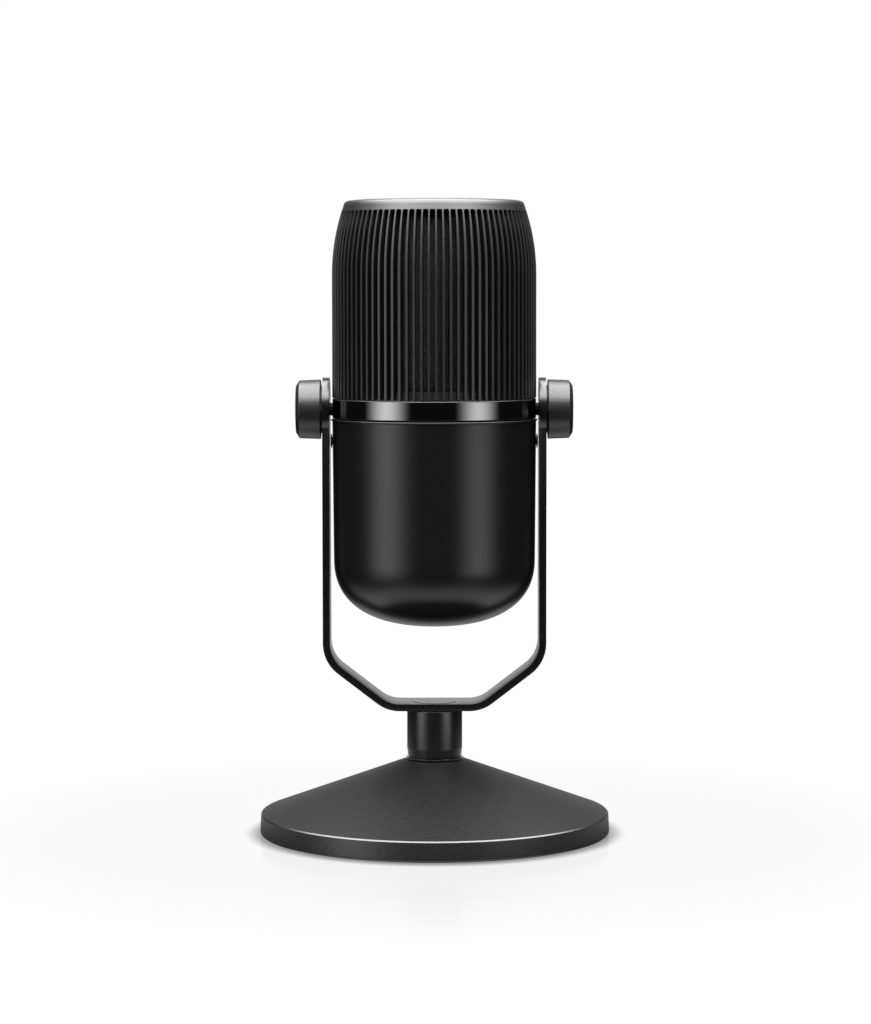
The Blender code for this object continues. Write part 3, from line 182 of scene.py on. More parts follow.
def turned_mesh(name, outline, steps, place=None):
    """A lathe-turned closed mesh. An outline that starts off the axis closes round a bore."""
    form = bmesh.new()
    rings = []
    for radius, height in outline:
        count = steps if radius > 0.001 * mm else 1
        angles = [math.tau * index / steps for index in range(count)]
        rings.append([form.verts.new((radius * math.cos(a), radius * math.sin(a), height)) for a in angles])
    bands = list(zip(rings, rings[1:]))
    if len(rings[0]) > 1:
        bands.append((rings[-1], rings[0]))
    for upper, lower in bands:
        for index in range(steps):
            after = (index + 1) % steps
            corners = [
                upper[index % len(upper)],
                lower[index % len(lower)],
                lower[after % len(lower)],
                upper[after % len(upper)],
            ]
            form.faces.new(list(dict.fromkeys(corners)))
    return closed_mesh(name, form, place)


def closed_mesh(name, form, place=None):
    """A mesh from this bmesh, its faces turned outwards and its rounded corners shaded smooth."""
    bmesh.ops.recalc_face_normals(form, faces=form.faces)
    mesh = bpy.data.meshes.new(name)
    form.to_mesh(mesh)
    form.free()
    if place:
        mesh.transform(place)
    mesh.shade_smooth()
    mesh.set_sharp_from_angle(angle=math.radians(38))
    return mesh


def add_piece(name, mesh, material):
    piece = bpy.data.objects.new(name, mesh)
    bpy.context.scene.collection.objects.link(piece)
    mesh.materials.clear()
    mesh.materials.append(material)
    return piece


def seat(piece, body, slot, *replaced):
    """Makes a finished piece ride on its body and stand for its CAD nodes. Its slot is not used."""
    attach(piece, body)
    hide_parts(*replaced)


# The cone's coat is matt: its 0.3 mm pebbles turn the overhead light into a soft grey veil.
pebbled_coat, tree, shader = finish("pebbled_powder_coat", "#060606", 0.5, Specular_IOR_Level=0.15)
grained(tree, shader, 0.3 * mm, 0.09 * mm, ("#040404", "#080808"), (0.42, 0.56), detail=3.0)
# The rim's coat flowed smooth, so it shows broad soft bars and a bright line along its chamfer.
rim_coat, tree, shader = finish("satin_powder_coat_rim", "#070708", 0.3, Specular_IOR_Level=0.7)
grained(tree, shader, 0.5 * mm, 0.008 * mm, None, (0.26, 0.34))

base_low, base_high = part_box("base_cover")
rim_radius = base_high.x
cone_top = base_high.z
rim_top = 6.7 * mm
cover_wall = 2.2 * mm
bolt_clearance = 3.3 * mm
cone_top_radius = 9.4 * mm
chamfer_inset = 0.7 * mm
chamfer_drop = 0.4 * mm
rim_draft = 0.3 * mm
chamfer_edge = 0.15 * mm
hub_flat = 9 * mm
hub_drop = 1.2 * mm
ceiling_drop = 1.6 * mm
outline = rounded(
    [
        (bolt_clearance, cone_top, 0),
        (cone_top_radius, cone_top, 0.5 * mm),
        (rim_radius - chamfer_inset, rim_top, chamfer_edge),
        (rim_radius - rim_draft, rim_top - chamfer_drop, chamfer_edge),
        (rim_radius, base_low.z, 0.8 * mm),
        (rim_radius - cover_wall, base_low.z, 0.2 * mm),
        (rim_radius - cover_wall, rim_top - ceiling_drop, 0.3 * mm),
        (bolt_clearance + hub_flat, cone_top - cover_wall - hub_drop, 0),
        (bolt_clearance, cone_top - cover_wall, 0),
    ]
)
cover_mesh = turned_mesh("base_cover_shell", outline, 256)
base_cover = add_piece("base_cover_shell", cover_mesh, pebbled_coat)
cover_mesh.materials.append(rim_coat)
for face in cover_mesh.polygons:
    face.material_index = int(face.center.z < rim_top - 0.02 * mm)
seat(base_cover, "base", "grained_paint", "base_cover")


# ---------------------------------------------------------------------------------------------
# Neck. A turned aluminium sleeve in satin black lacquer stands on a thin polished washer, which
# is the bright line at its foot. A nylon washer in its upper end lets the yoke turn.

# Sprayed lacquer flows out almost level, so bars of light stay clear with a soft edge.
satin_lacquer, tree, shader = finish("satin_black_lacquer", "#050506", 0.25)
grained(tree, shader, 0.7 * mm, 0.0015 * mm, None, (0.22, 0.28))
# Polished lacquer mirrors the room sharply over deep black.
polished_lacquer, tree, shader = finish("polished_black_lacquer", "#060606", 0.08)
grained(tree, shader, 1.0 * mm, 0.002 * mm, None, (0.06, 0.12))
# Natural nylon is a waxy off-white, faintly mottled.
turned_nylon, tree, shader = finish("turned_white_nylon", "#e0dcd2", 0.5, Subsurface_Weight=0.1)
grained(tree, shader, 0.4 * mm, 0.01 * mm, ("#d8d4c9", "#e8e4da"))
dress(turned_nylon, "swivel_washer")

neck_low, neck_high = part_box("neck_sleeve")
neck_bore = 7.5 * mm
washer_seat = neck_high.z - 0.8 * mm
foot_height = 2.6 * mm
foot_inset = 0.3 * mm
outline = rounded(
    [
        (neck_bore, neck_high.z, 0),
        (neck_high.x, neck_high.z, 0.1 * mm),
        (neck_high.x, neck_low.z + foot_height, 4.0 * mm),
        (neck_high.x - foot_inset, neck_low.z, 0.15 * mm),
        (bolt_clearance, neck_low.z, 0),
        (bolt_clearance, washer_seat, 0),
        (neck_bore, washer_seat, 0),
    ]
)
neck = add_piece("neck_tube", turned_mesh("neck_tube", outline, 128), satin_lacquer)
seat(neck, "base", "satin_paint", "neck_sleeve")

trim_low, trim_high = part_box("neck_trim")
trim_edge = 0.06 * mm
outline = rounded(
    [
        (bolt_clearance, trim_high.z, 0),
        (trim_high.x, trim_high.z, trim_edge),
        (trim_high.x, trim_low.z, trim_edge),
        (bolt_clearance, trim_low.z, 0),
    ]
)
trim = add_piece("neck_trim_ring", turned_mesh("neck_trim_ring", outline, 128), polished_lacquer)
seat(trim, "base", "polished_trim", "neck_trim")


# ---------------------------------------------------------------------------------------------
# Yoke. A flat steel strip, blanked with a round ear at each end, drilled, bent twice on each
# side in a press brake and lacquered satin black, so its edges are square but not sharp.

strip = 2.2 * mm
strip_edge = 0.4 * mm
bend_radius = 11 * mm
flat_half = 14.6 * mm
shoulder_rise = 14.9 * mm
ear_radius = 10 * mm
yoke_low, yoke_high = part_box("yoke_bracket")
pivot_height = yoke_high.z - ear_radius
arm_x = yoke_high.x - strip / 2
strip_half = 8.15 * mm
bolt_zone = 8.25 * mm


def bend_points(corner, before, after, radius, steps):
    """The middle line of the strip through one bend."""
    into = (corner - before).normalized()
    turn = into.angle((after - corner).normalized())
    side = Vector((-into.y, into.x))
    centre = corner - into * radius * math.tan(turn / 2) + side * radius
    angles = [turn * step / steps for step in range(steps + 1)]
    return [centre + (into * math.sin(a) - side * math.cos(a)) * radius for a in angles]


def strip_rows():
    """(x, z, half width) for each row across the strip, from the middle to the ear's top."""
    floor = yoke_low.z + strip / 2
    middle = Vector((0, floor))
    lower = Vector((flat_half, floor))
    upper = Vector((arm_x, floor + shoulder_rise))
    ear = Vector((arm_x, pivot_height))
    line = [middle, Vector((bolt_zone, floor))]
    line += bend_points(lower, middle, upper, bend_radius, 10)
    line += bend_points(upper, lower, ear, bend_radius, 12)
    rows = [(point.x, point.y, strip_half) for point in line]
    first = -math.acos(strip_half / ear_radius)
    ear_steps = 28
    for step in range(ear_steps + 1):
        angle = first + (math.pi / 2 - first) * step / ear_steps
        rows.append((arm_x, pivot_height + ear_radius * math.sin(angle), ear_radius * math.cos(angle)))
    return rows


def settled(piece):
    """Turns the piece with its modifiers into a plain mesh."""
    evaluated = piece.evaluated_get(bpy.context.evaluated_depsgraph_get())
    mesh = bpy.data.meshes.new_from_object(evaluated)
    piece.modifiers.clear()
    piece.data = mesh
    mesh.shade_smooth()
    mesh.set_sharp_from_angle(angle=math.radians(38))


def drilled(piece, *cutter_meshes):
    """Cuts these meshes out of the piece."""
    cutters = []
    for mesh in cutter_meshes:
        cutter = bpy.data.objects.new(mesh.name, mesh)
        bpy.context.scene.collection.objects.link(cutter)
        cutters.append(cutter)
        hole = piece.modifiers.new(mesh.name, "BOOLEAN")
        hole.object = cutter
    settled(piece)
    for cutter in cutters:
        bpy.data.objects.remove(cutter)


form = bmesh.new()
previous = None
half_rows = strip_rows()
mirrored_rows = [(-x, z, half) for x, z, half in reversed(half_rows[1:])]
for x, z, half in mirrored_rows + half_rows:
    row = [form.verts.new((x, -half, z)), form.verts.new((x, half, z))]
    if previous:
        form.faces.new((previous[0], row[0], row[1], previous[1]))
    previous = row
bmesh.ops.remove_doubles(form, verts=form.verts, dist=0.001 * mm)
blank = bpy.data.meshes.new("yoke_strip")
form.to_mesh(blank)
form.free()
yoke = add_piece("yoke_strip", blank, satin_lacquer)
wall = yoke.modifiers.new("strip", "SOLIDIFY")
wall.thickness = strip
wall.offset = 0.0
wall.use_even_offset = True
rounding = yoke.modifiers.new("edges", "BEVEL")
rounding.width = strip_edge
rounding.segments = 3
rounding.limit_method = "ANGLE"
rounding.angle_limit = math.radians(60)

along_x = Matrix.Translation((-arm_x - strip, 0, pivot_height)) @ Matrix.Rotation(math.pi / 2, 4, "Y")
screw_clearance = 2.3 * mm
drill_reach = 2 * (arm_x + strip)
ear_drill = turned_mesh(
    "ear_drill",
    [(0, drill_reach), (screw_clearance, drill_reach), (screw_clearance, 0), (0, 0)],
    48,
    along_x,
)
gap = 0.3 * mm
cut_margin = 0.2 * mm
bolt_low, bolt_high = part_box("yoke_bolt")
sink_top = yoke_low.z + strip + cut_margin
sink_foot = yoke_low.z - cut_margin
sink_radius = bolt_high.x + gap + (sink_top - bolt_high.z)
sink_foot_radius = sink_radius - (sink_top - sink_foot)
countersink = turned_mesh(
    "countersink",
    [(0, sink_top), (sink_radius, sink_top), (sink_foot_radius, sink_foot), (0, sink_foot)],
    48,
)
drilled(yoke, ear_drill, countersink)
seat(yoke, "yoke", "satin_paint", "yoke_bracket")

# A thin lacquered disc is stuck over the bolt's head, so the strip looks unbroken from above.
disc_foot = yoke_low.z + strip
disc_top = disc_foot + 0.12 * mm
disc_radius = sink_radius + gap
outline = rounded(
    [
        (0, disc_top, 0),
        (disc_radius, disc_top, 0.05 * mm),
        (disc_radius, disc_foot, 0),
        (0, disc_foot, 0),
    ]
)
cover_disc = add_piece("bolt_cover_disc", turned_mesh("bolt_cover_disc", outline, 96), satin_lacquer)
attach(cover_disc, "yoke")


# ---------------------------------------------------------------------------------------------
# Centre ring. Moulded ABS with its outer face in black chrome plate, the only mirror on the head.
# It shows the studio's soft boxes as upright bars with soft edges.

# Black chrome is a dark mirror, very slightly wavy from the moulding under it.
black_chrome, tree, shader = finish("black_chrome_plate", "#6c6c6c", 0.05, 1.0)
grained(tree, shader, 6 * mm, 0.004 * mm, None, (0.04, 0.07))

ring_low, ring_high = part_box("center_ring")
ring_bore = ring_high.x - 2.4 * mm
ring_edge = 0.3 * mm
collar_seat = 1.2 * mm
outline = rounded(
    [
        (ring_bore + collar_seat, ring_high.z, 0),
        (ring_high.x, ring_high.z, ring_edge),
        (ring_high.x, ring_low.z, ring_edge),
        (ring_bore, ring_low.z, 0),
        (ring_bore, ring_high.z - collar_seat, 0),
        (ring_bore + collar_seat, ring_high.z - collar_seat, 0),
    ]
)
ring = add_piece("gloss_ring", turned_mesh("gloss_ring", outline, 256), black_chrome)
# The ring's edges and bore are masked from the plating, so they stay a dull moulded black.
bare_abs, tree, shader = finish("bare_black_abs", "#060607", 0.35)
grained(tree, shader, 0.8 * mm, 0.004 * mm, None, (0.3, 0.4))
ring.data.materials.append(bare_abs)
for face in ring.data.polygons:
    inset = min(ring_high.z - face.center.z, face.center.z - ring_low.z)
    is_inner = face.center.xy.length < ring_high.x - 0.5 * mm
    face.material_index = int(is_inner or inset < 0.25 * mm)
drilled(ring, ear_drill.copy())
seat(ring, "head", "gloss_band", "center_ring")


# ---------------------------------------------------------------------------------------------
# Lower shell. A moulded ABS cup in satin black soft paint. Its mouth ends in a thin raised bead
# under the ring, its front is bare, and its rear has the holes for the controls and inlets.

# Soft paint is velvety black that gathers each soft box into one broad, even bar.
soft_paint, tree, shader = finish("satin_soft_paint_abs", "#040405", 0.31, Specular_IOR_Level=0.36)
grained(tree, shader, 0.25 * mm, 0.01 * mm, ("#030304", "#050505"), (0.29, 0.33))

shell_low, shell_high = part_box("lower_shell")
bead_radius = shell_high.x
wall_radius = bead_radius - 0.35 * mm
belly_radius = 31.8 * mm
belly_height = 88.1 * mm
bowl_power = 2.45
shell_wall = 2.2 * mm
bead = 0.6 * mm


def bowl(radius, depth, steps):
    """The cup's lower end, a superellipse from the wall to the axis."""
    points = []
    for step in range(steps):
        angle = math.pi / 2 * step / steps
        across = math.cos(angle) ** (2 / bowl_power)
        down = math.sin(angle) ** (2 / bowl_power)
        points.append((radius * across, belly_height - depth * down))
    return [*points, (0.0, belly_height - depth)]


wall_steps = 14
mouth_height = shell_high.z - bead
wall_points = [
    (
        wall_radius + (belly_radius - wall_radius) * step / wall_steps,
        mouth_height + (belly_height - mouth_height) * step / wall_steps,
    )
    for step in range(1, wall_steps)
]
inner_bowl = bowl(belly_radius - shell_wall, belly_height - shell_low.z - shell_wall, 20)
mouth = rounded(
    [
        (wall_radius - shell_wall, shell_high.z - 1 * mm, 0),
        (wall_radius - shell_wall, shell_high.z, 0.1 * mm),
        (bead_radius, shell_high.z, 0.22 * mm),
        (bead_radius, mouth_height, 0.22 * mm),
        (wall_radius, mouth_height, 0.08 * mm),
        (wall_radius, mouth_height - 1 * mm, 0),
    ]
)
outline = [*reversed(inner_bowl), *mouth, *wall_points, *bowl(belly_radius, belly_height - shell_low.z, 40)]
shell = add_piece("satin_shell", turned_mesh("satin_shell", outline, 192), soft_paint)


def rear_place(x, y, z):
    """Turns local +Z to +Y and moves it to this point."""
    return Matrix.Translation((x, y, z)) @ Matrix.Rotation(-math.pi / 2, 4, "X")


inside_rear = 24 * mm


def round_drill(name, x, z, radius):
    reach = 12 * mm
    outline = [(0, reach), (radius, reach), (radius, 0), (0, 0)]
    return turned_mesh(name, outline, 64, rear_place(x, inside_rear, z))


dial_low, dial_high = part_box("gain_dial")
dial_height = (dial_low.z + dial_high.z) / 2
button_low, button_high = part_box("mute_button")
button_height = (button_low.z + button_high.z) / 2
jack_low, jack_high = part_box("headphone_jack")
jack_x = (jack_low.x + jack_high.x) / 2
inlet_height = (jack_low.z + jack_high.z) / 2
usb_low, usb_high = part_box("usb_socket")
usb_x = (usb_low.x + usb_high.x) / 2
form = bmesh.new()
bmesh.ops.create_cube(form, size=1.0)
usb_size = (usb_high.x - usb_low.x + 2 * gap, usb_high.z - usb_low.z + 2 * gap, 24 * mm)
bmesh.ops.scale(form, vec=usb_size, verts=form.verts)
upright = [edge for edge in form.edges if abs(edge.verts[0].co.z - edge.verts[1].co.z) > 1 * mm]
bmesh.ops.bevel(form, geom=upright, offset=usb_size[1] * 0.49, segments=8, profile=0.5, affect="EDGES")
usb_drill = closed_mesh("usb_drill", form, rear_place(usb_x, inside_rear, inlet_height))
dial_hole = 4.8 * mm
button_hole = 3.3 * mm
jack_hole = 3.3 * mm
drilled(
    shell,
    round_drill("dial_drill", 0, dial_height, dial_hole),
    round_drill("button_drill", 0, button_height, button_hole),
    round_drill("jack_drill", jack_x, inlet_height, jack_hole),
    usb_drill,
)
seat(shell, "head", "satin_shell", "lower_shell")


# ---------------------------------------------------------------------------------------------
# Grille cage. The upper half of the head: an aluminium cap with 87 upright slots, milled with a
# round-nosed cutter, so each slot ends in a half round under the crown. Fine bead-blasted lacquer.

rib_count = 87
rib_phase = math.radians(1.19) - math.pi / 2
slot_half = 0.75 * mm
slot_top = 196.65 * mm
cage_wall = 2.4 * mm
rib_edge = 0.14 * mm
crown_start = 177.0 * mm
crown_radius = 64.4 * mm
top_round = 1.8 * mm
cage_low, cage_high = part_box("grille_cage")
cage_radius = ring_high.x
cage_foot = ring_high.z + gap
crown_centre = cage_radius - crown_radius
crown_end = math.asin((cage_high.z - top_round - crown_start) / crown_radius)


def cage_rows():
    """Rows from the top's middle to the ribs' feet.
    Each is an outer point, an inner point and the depth below the slot's top."""
    inner_top = cage_high.z - cage_wall
    corner_angle = math.asin((inner_top - crown_start) / (crown_radius - cage_wall))
    inner_corner = (crown_centre + (crown_radius - cage_wall) * math.cos(corner_angle), inner_top)
    edge_radius = crown_centre + crown_radius * math.cos(crown_end) - top_round
    rows = []
    for share in (0.0, 0.3, 0.6, 0.85, 1.0):
        radius = edge_radius * share
        rows.append(((radius, cage_high.z), (min(radius, inner_corner[0]), inner_top), 0.0))
    for step in range(1, 5):
        angle = math.pi / 2 - (math.pi / 2 - crown_end) * step / 5
        point = (edge_radius + top_round * math.cos(angle), cage_high.z - top_round * (1 - math.sin(angle)))
        rows.append((point, inner_corner, 0.0))
    slot_angle = math.asin((slot_top - crown_start) / crown_radius)
    angles = [(crown_end + (slot_angle - crown_end) * step / 2, 0.0) for step in range(3)]
    for step in range(1, 6):
        below = slot_half * (1 - math.cos(math.pi / 2 * step / 5))
        angles.append((slot_angle - below / crown_radius, below))
    start = angles[-1][0]
    angles += [(start * (1 - step / 7), 2 * slot_half) for step in range(1, 8)]
    for angle, below in angles:
        outer, inner = (
            (crown_centre + radius * math.cos(angle), crown_start + radius * math.sin(angle))
            for radius in (crown_radius, crown_radius - cage_wall)
        )
        if inner[1] > inner_top:
            inner = inner_corner
        rows.append((outer, inner, below))
    for height in (158 * mm, cage_foot):
        rows.append(((cage_radius, height), (cage_radius - cage_wall, height), 2 * slot_half))
    return rows


def opening(below):
    """Half the slot's width at this depth below its top."""
    if below >= slot_half:
        return slot_half
    return math.sqrt(max(slot_half**2 - (slot_half - below) ** 2, 0.0))


def rib_cell():
    """One rib with its share of the crown, round the +X axis, as wide as one slot and one rib."""
    form = bmesh.new()
    shares = (-1.0, -0.7, 0.0, 0.7, 1.0)
    layers = []
    for outer, inner, below in cage_rows():
        pair = []
        for radius, height, chamfer in ((*outer, rib_edge), (*inner, 0.0)):
            half_angle = math.pi / rib_count
            if radius > slot_half:
                half_angle -= opening(below) / radius
            row = []
            for share in shares:
                dip = chamfer * opening(below) / slot_half if abs(share) == 1.0 else 0.0
                angle = half_angle * share
                place = ((radius - dip) * math.cos(angle), (radius - dip) * math.sin(angle), height)
                row.append(form.verts.new(place))
            pair.append(row)
        layers.append((pair, below))
    for ((upper_out, upper_in), above), ((lower_out, lower_in), below) in zip(layers, layers[1:]):
        for column in range(len(shares) - 1):
            for upper, lower in ((upper_out, lower_out), (lower_in, upper_in)):
                form.faces.new((upper[column], lower[column], lower[column + 1], upper[column + 1]))
        if below > 0:
            form.faces.new((upper_out[0], upper_in[0], lower_in[0], lower_out[0]))
            form.faces.new((upper_out[-1], lower_out[-1], lower_in[-1], upper_in[-1]))
    foot_out, foot_in = layers[-1][0]
    for column in range(len(shares) - 1):
        form.faces.new((foot_out[column], foot_in[column], foot_in[column + 1], foot_out[column + 1]))
    bmesh.ops.remove_doubles(form, verts=form.verts, dist=0.002 * mm)
    mesh = bpy.data.meshes.new("rib_cell")
    form.to_mesh(mesh)
    form.free()
    return mesh


def ring_of_copies(name):
    """A Geometry Nodes tree that sets copies round the Z axis and welds them where they meet."""
    tree = bpy.data.node_groups.new(name, "GeometryNodeTree")
    sockets = {}
    wanted = (
        ("Geometry", "NodeSocketGeometry"),
        ("Count", "NodeSocketInt"),
        ("Start Angle", "NodeSocketFloat"),
        ("Weld Distance", "NodeSocketFloat"),
        ("Finish", "NodeSocketMaterial"),
    )
    for label, kind in wanted:
        sockets[label] = tree.interface.new_socket(name=label, in_out="INPUT", socket_type=kind).identifier
    tree.interface.new_socket(name="Geometry", in_out="OUTPUT", socket_type="NodeSocketGeometry")
    given = add_node(tree, "NodeGroupInput")
    points = add_node(
        tree,
        "GeometryNodeMeshLine",
        {"Start Location": (0, 0, 0), "Offset": (0, 0, 0)},
        {"Count": given.outputs["Count"]},
    )
    index = add_node(tree, "GeometryNodeInputIndex")
    step = add_node(
        tree,
        "ShaderNodeMath",
        {0: math.tau},
        {1: given.outputs["Count"]},
        operation="DIVIDE",
    )
    angle = add_node(
        tree,
        "ShaderNodeMath",
        links={0: index.outputs["Index"], 1: step.outputs[0], 2: given.outputs["Start Angle"]},
        operation="MULTIPLY_ADD",
    )
    turn = add_node(tree, "ShaderNodeCombineXYZ", links={"Z": angle.outputs[0]})
    copies = add_node(
        tree,
        "GeometryNodeInstanceOnPoints",
        links={
            "Points": points.outputs["Mesh"],
            "Instance": given.outputs["Geometry"],
            "Rotation": turn.outputs["Vector"],
        },
    )
    real = add_node(tree, "GeometryNodeRealizeInstances", links={"Geometry": copies.outputs["Instances"]})
    welded = add_node(
        tree,
        "GeometryNodeMergeByDistance",
        links={"Geometry": real.outputs["Geometry"], "Distance": given.outputs["Weld Distance"]},
    )
    painted = add_node(
        tree,
        "GeometryNodeSetMaterial",
        links={"Geometry": welded.outputs["Geometry"], "Material": given.outputs["Finish"]},
    )
    add_node(tree, "NodeGroupOutput", links={"Geometry": painted.outputs["Geometry"]})
    return tree, sockets


def copied_round(piece, count, start_angle, weld, material):
    """Runs that tree on a piece and keeps the result as its plain mesh."""
    tree, sockets = ring_of_copies(f"{piece.name}_ring")
    ring_modifier = piece.modifiers.new("ring", "NODES")
    ring_modifier.node_group = tree
    ring_modifier[sockets["Count"]] = count
    ring_modifier[sockets["Start Angle"]] = start_angle
    ring_modifier[sockets["Weld Distance"]] = weld
    ring_modifier[sockets["Finish"]] = material
    settled(piece)


# Blasted lacquer is finely matt, so each rib shows one narrow grey line along its face.
blasted_lacquer, tree, shader = finish("blasted_lacquered_aluminium", "#0d0d0e", 0.42)
grained(tree, shader, 0.2 * mm, 0.012 * mm, ("#070708", "#0a0a0a"), (0.38, 0.47))
# The crown was turned after blasting: the same black, but it catches the light overhead more.
crown_lacquer, tree, shader = finish("turned_lacquered_aluminium", "#0d0d0e", 0.42, Specular_IOR_Level=0.75)
grained(tree, shader, 0.2 * mm, 0.012 * mm, ("#070708", "#0a0a0a"), (0.36, 0.45))

cage = add_piece("slotted_cage", rib_cell(), blasted_lacquer)
copied_round(cage, rib_count, rib_phase, 0.004 * mm, blasted_lacquer)
cage.data.materials.append(crown_lacquer)
for face in cage.data.polygons:
    face.material_index = int(face.center.z > slot_top)
seat(cage, "head", "satin_paint", "grille_cage")

collar_bore = cage_radius - cage_wall
collar_outer = collar_bore + 0.9 * mm
collar_top = cage_foot + gap
outline = [
    (collar_outer, collar_top),
    (collar_outer, cage_low.z),
    (collar_bore, cage_low.z),
    (collar_bore, collar_top),
]
collar = add_piece("cage_collar", turned_mesh("cage_collar", outline, 2 * rib_count), blasted_lacquer)
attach(collar, "head")


# ---------------------------------------------------------------------------------------------
# Wire mesh sleeve. A fine black woven wire cloth, rolled into a cap behind the slots. Its wires
# are 0.2 mm thick, drawn 0.5 mm apart here so that they can show between the ribs.

woven_wire, tree, shader = finish("black_woven_wire", "#111112", 0.45, 0.6)
wire_pitch = 0.5 * mm
place = add_node(tree, "ShaderNodeTexCoord")
parts = add_node(tree, "ShaderNodeSeparateXYZ", links={"Vector": place.outputs["Object"]})
around = add_node(
    tree, "ShaderNodeMath", links={0: parts.outputs["Y"], 1: parts.outputs["X"]}, operation="ARCTAN2"
)
mesh_low, mesh_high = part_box("grille_mesh")
waves = []
for source, scale in ((around.outputs[0], mesh_high.x / wire_pitch), (parts.outputs["Z"], 1 / wire_pitch)):
    phase = add_node(tree, "ShaderNodeMath", {1: scale * math.tau}, {0: source}, operation="MULTIPLY")
    waves.append(add_node(tree, "ShaderNodeMath", links={0: phase.outputs[0]}, operation="SINE"))
woven = add_node(
    tree,
    "ShaderNodeMath",
    links={0: waves[0].outputs[0], 1: waves[1].outputs[0]},
    operation="MAXIMUM",
)
bump = add_node(
    tree, "ShaderNodeBump", {"Strength": 1.0, "Distance": 0.1 * mm}, {"Height": woven.outputs[0]}
)
tree.links.new(bump.outputs["Normal"], shader.inputs["Normal"])

sleeve_inset = cage_radius - mesh_high.x
sleeve_wall = 0.4 * mm
sleeve_round = 1.5 * mm


def sleeve_side(inset):
    """The cap's outer side from the crown to the foot, inside the cage by this much."""
    radius = crown_radius - inset
    top = cage_high.z - inset
    end = math.asin((top - sleeve_round - crown_start) / radius)
    points = []
    for step in range(11):
        angle = end * (1 - step / 10)
        points.append((crown_centre + radius * math.cos(angle), crown_start + radius * math.sin(angle)))
    return [(0, top), (points[0][0] - sleeve_round, top), *points]


outline = [
    *sleeve_side(sleeve_inset),
    (mesh_high.x, mesh_low.z),
    (mesh_high.x - sleeve_wall, mesh_low.z),
    *reversed(sleeve_side(sleeve_inset + sleeve_wall)),
]
sleeve = add_piece("woven_sleeve", turned_mesh("woven_sleeve", outline, 160), woven_wire)
seat(sleeve, "head", "black_mesh", "grille_mesh")


# ---------------------------------------------------------------------------------------------
# Inside the head. Glass-filled nylon frame and cradle, brass thread inserts, a soft bush, two
# nickel-plated capsules, and a circuit board under dark solder mask. Little of it ever shows.

# Glass-filled nylon is a dull dark grey, slightly cloudy where the fibres reach the surface.
filled_nylon, tree, shader = finish("glass_filled_nylon", "#222223", 0.6)
grained(tree, shader, 0.3 * mm, 0.03 * mm, ("#1c1c1d", "#2a2a2b"), (0.5, 0.7))
dress(filled_nylon, "core_frame", "capsule_cradle", "mute_switch", "headphone_jack")
dress(filled_nylon, "left_knob_washer", "right_knob_washer")

# Turned brass is a warm yellow metal with a soft sheen.
turned_brass, tree, shader = finish("turned_brass", "#b8923f", 0.3, 1.0)
grained(tree, shader, 0.8 * mm, 0.01 * mm, ("#a8843a", "#c79f4a"), (0.25, 0.4))
dress(turned_brass, "left_insert", "right_insert")

# Nickel plate is a slightly warm white metal.
nickel_can, tree, shader = finish("nickel_plated_can", "#b9b4a6", 0.3, 1.0)
grained(tree, shader, 1.0 * mm, 0.006 * mm, ("#aea99b", "#c6c1b3"), (0.22, 0.38))
dress(nickel_can, "front_capsule", "rear_capsule")

# Tin plate is a cool white metal, a little cloudy.
tin_plate, tree, shader = finish("tin_plated_sheet", "#b4b5b6", 0.28, 1.0)
grained(tree, shader, 1.5 * mm, 0.006 * mm, ("#a6a7a9", "#c4c5c6"), (0.2, 0.36))
dress(tin_plate, "usb_socket", "gain_pot")

# Soft rubber is dark grey and quite matt.
soft_rubber, tree, shader = finish("moulded_soft_rubber", "#3a3a3c", 0.85)
grained(tree, shader, 0.4 * mm, 0.02 * mm, ("#333335", "#434345"))
dress(soft_rubber, "capsule_mount")

# Wire insulation is plain red with a slight gloss.
wire_cover, tree, shader = finish("red_wire_insulation", "#8e1b1b", 0.45)
grained(tree, shader, 0.6 * mm, 0.01 * mm, ("#861818", "#9a2222"))
dress(wire_cover, "capsule_lead")

# Solder mask is a thin dark green varnish, glossy in places.
solder_mask, tree, shader = finish("dark_solder_mask", "#0f2418", 0.35)
grained(tree, shader, 0.8 * mm, 0.02 * mm, ("#0c1e13", "#16301f"), (0.25, 0.5))
dress(solder_mask, "main_board")


# ---------------------------------------------------------------------------------------------
# Knobs. Two round clamp knobs of black nylon, each moulded round a black-oxide M4 screw. The side is
# finely spark-eroded, and a flat chamfer runs round the outer face.

# Spark-eroded nylon is a fine dry grain: highlights stay readable but their edges are soft.
eroded_nylon, tree, shader = finish("spark_eroded_nylon", "#0c0c0d", 0.38)
grained(tree, shader, 0.22 * mm, 0.02 * mm, ("#060607", "#0a0a0a"), (0.34, 0.43), detail=3.0)

knob_low, knob_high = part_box("right_knob")
knob_length = knob_high.x - knob_low.x
knob_radius = knob_high.y
washer_low, washer_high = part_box("right_knob_washer")
recess_radius = washer_high.y + gap
recess_depth = washer_high.x - knob_low.x + gap
chamfer_width = 1.9 * mm
chamfer_depth = 1.1 * mm
knob_draft = 0.25 * mm
knob_edge = 0.25 * mm
knob_wall = 1.5 * mm
screw_head = 3.7 * mm
outline = rounded(
    [
        (0, knob_length, 0),
        (knob_radius - chamfer_width, knob_length, knob_edge),
        (knob_radius - knob_draft, knob_length - chamfer_depth, knob_edge),
        (knob_radius, 0, 0.2 * mm),
        (recess_radius, 0, 0),
        (recess_radius, recess_depth, 0),
        (screw_clearance, recess_depth, 0),
        (screw_clearance, recess_depth + knob_wall, 0),
        (screw_head, recess_depth + knob_wall, 0),
        (screw_head, knob_length - knob_wall, 0),
        (0, knob_length - knob_wall, 0),
    ]
)
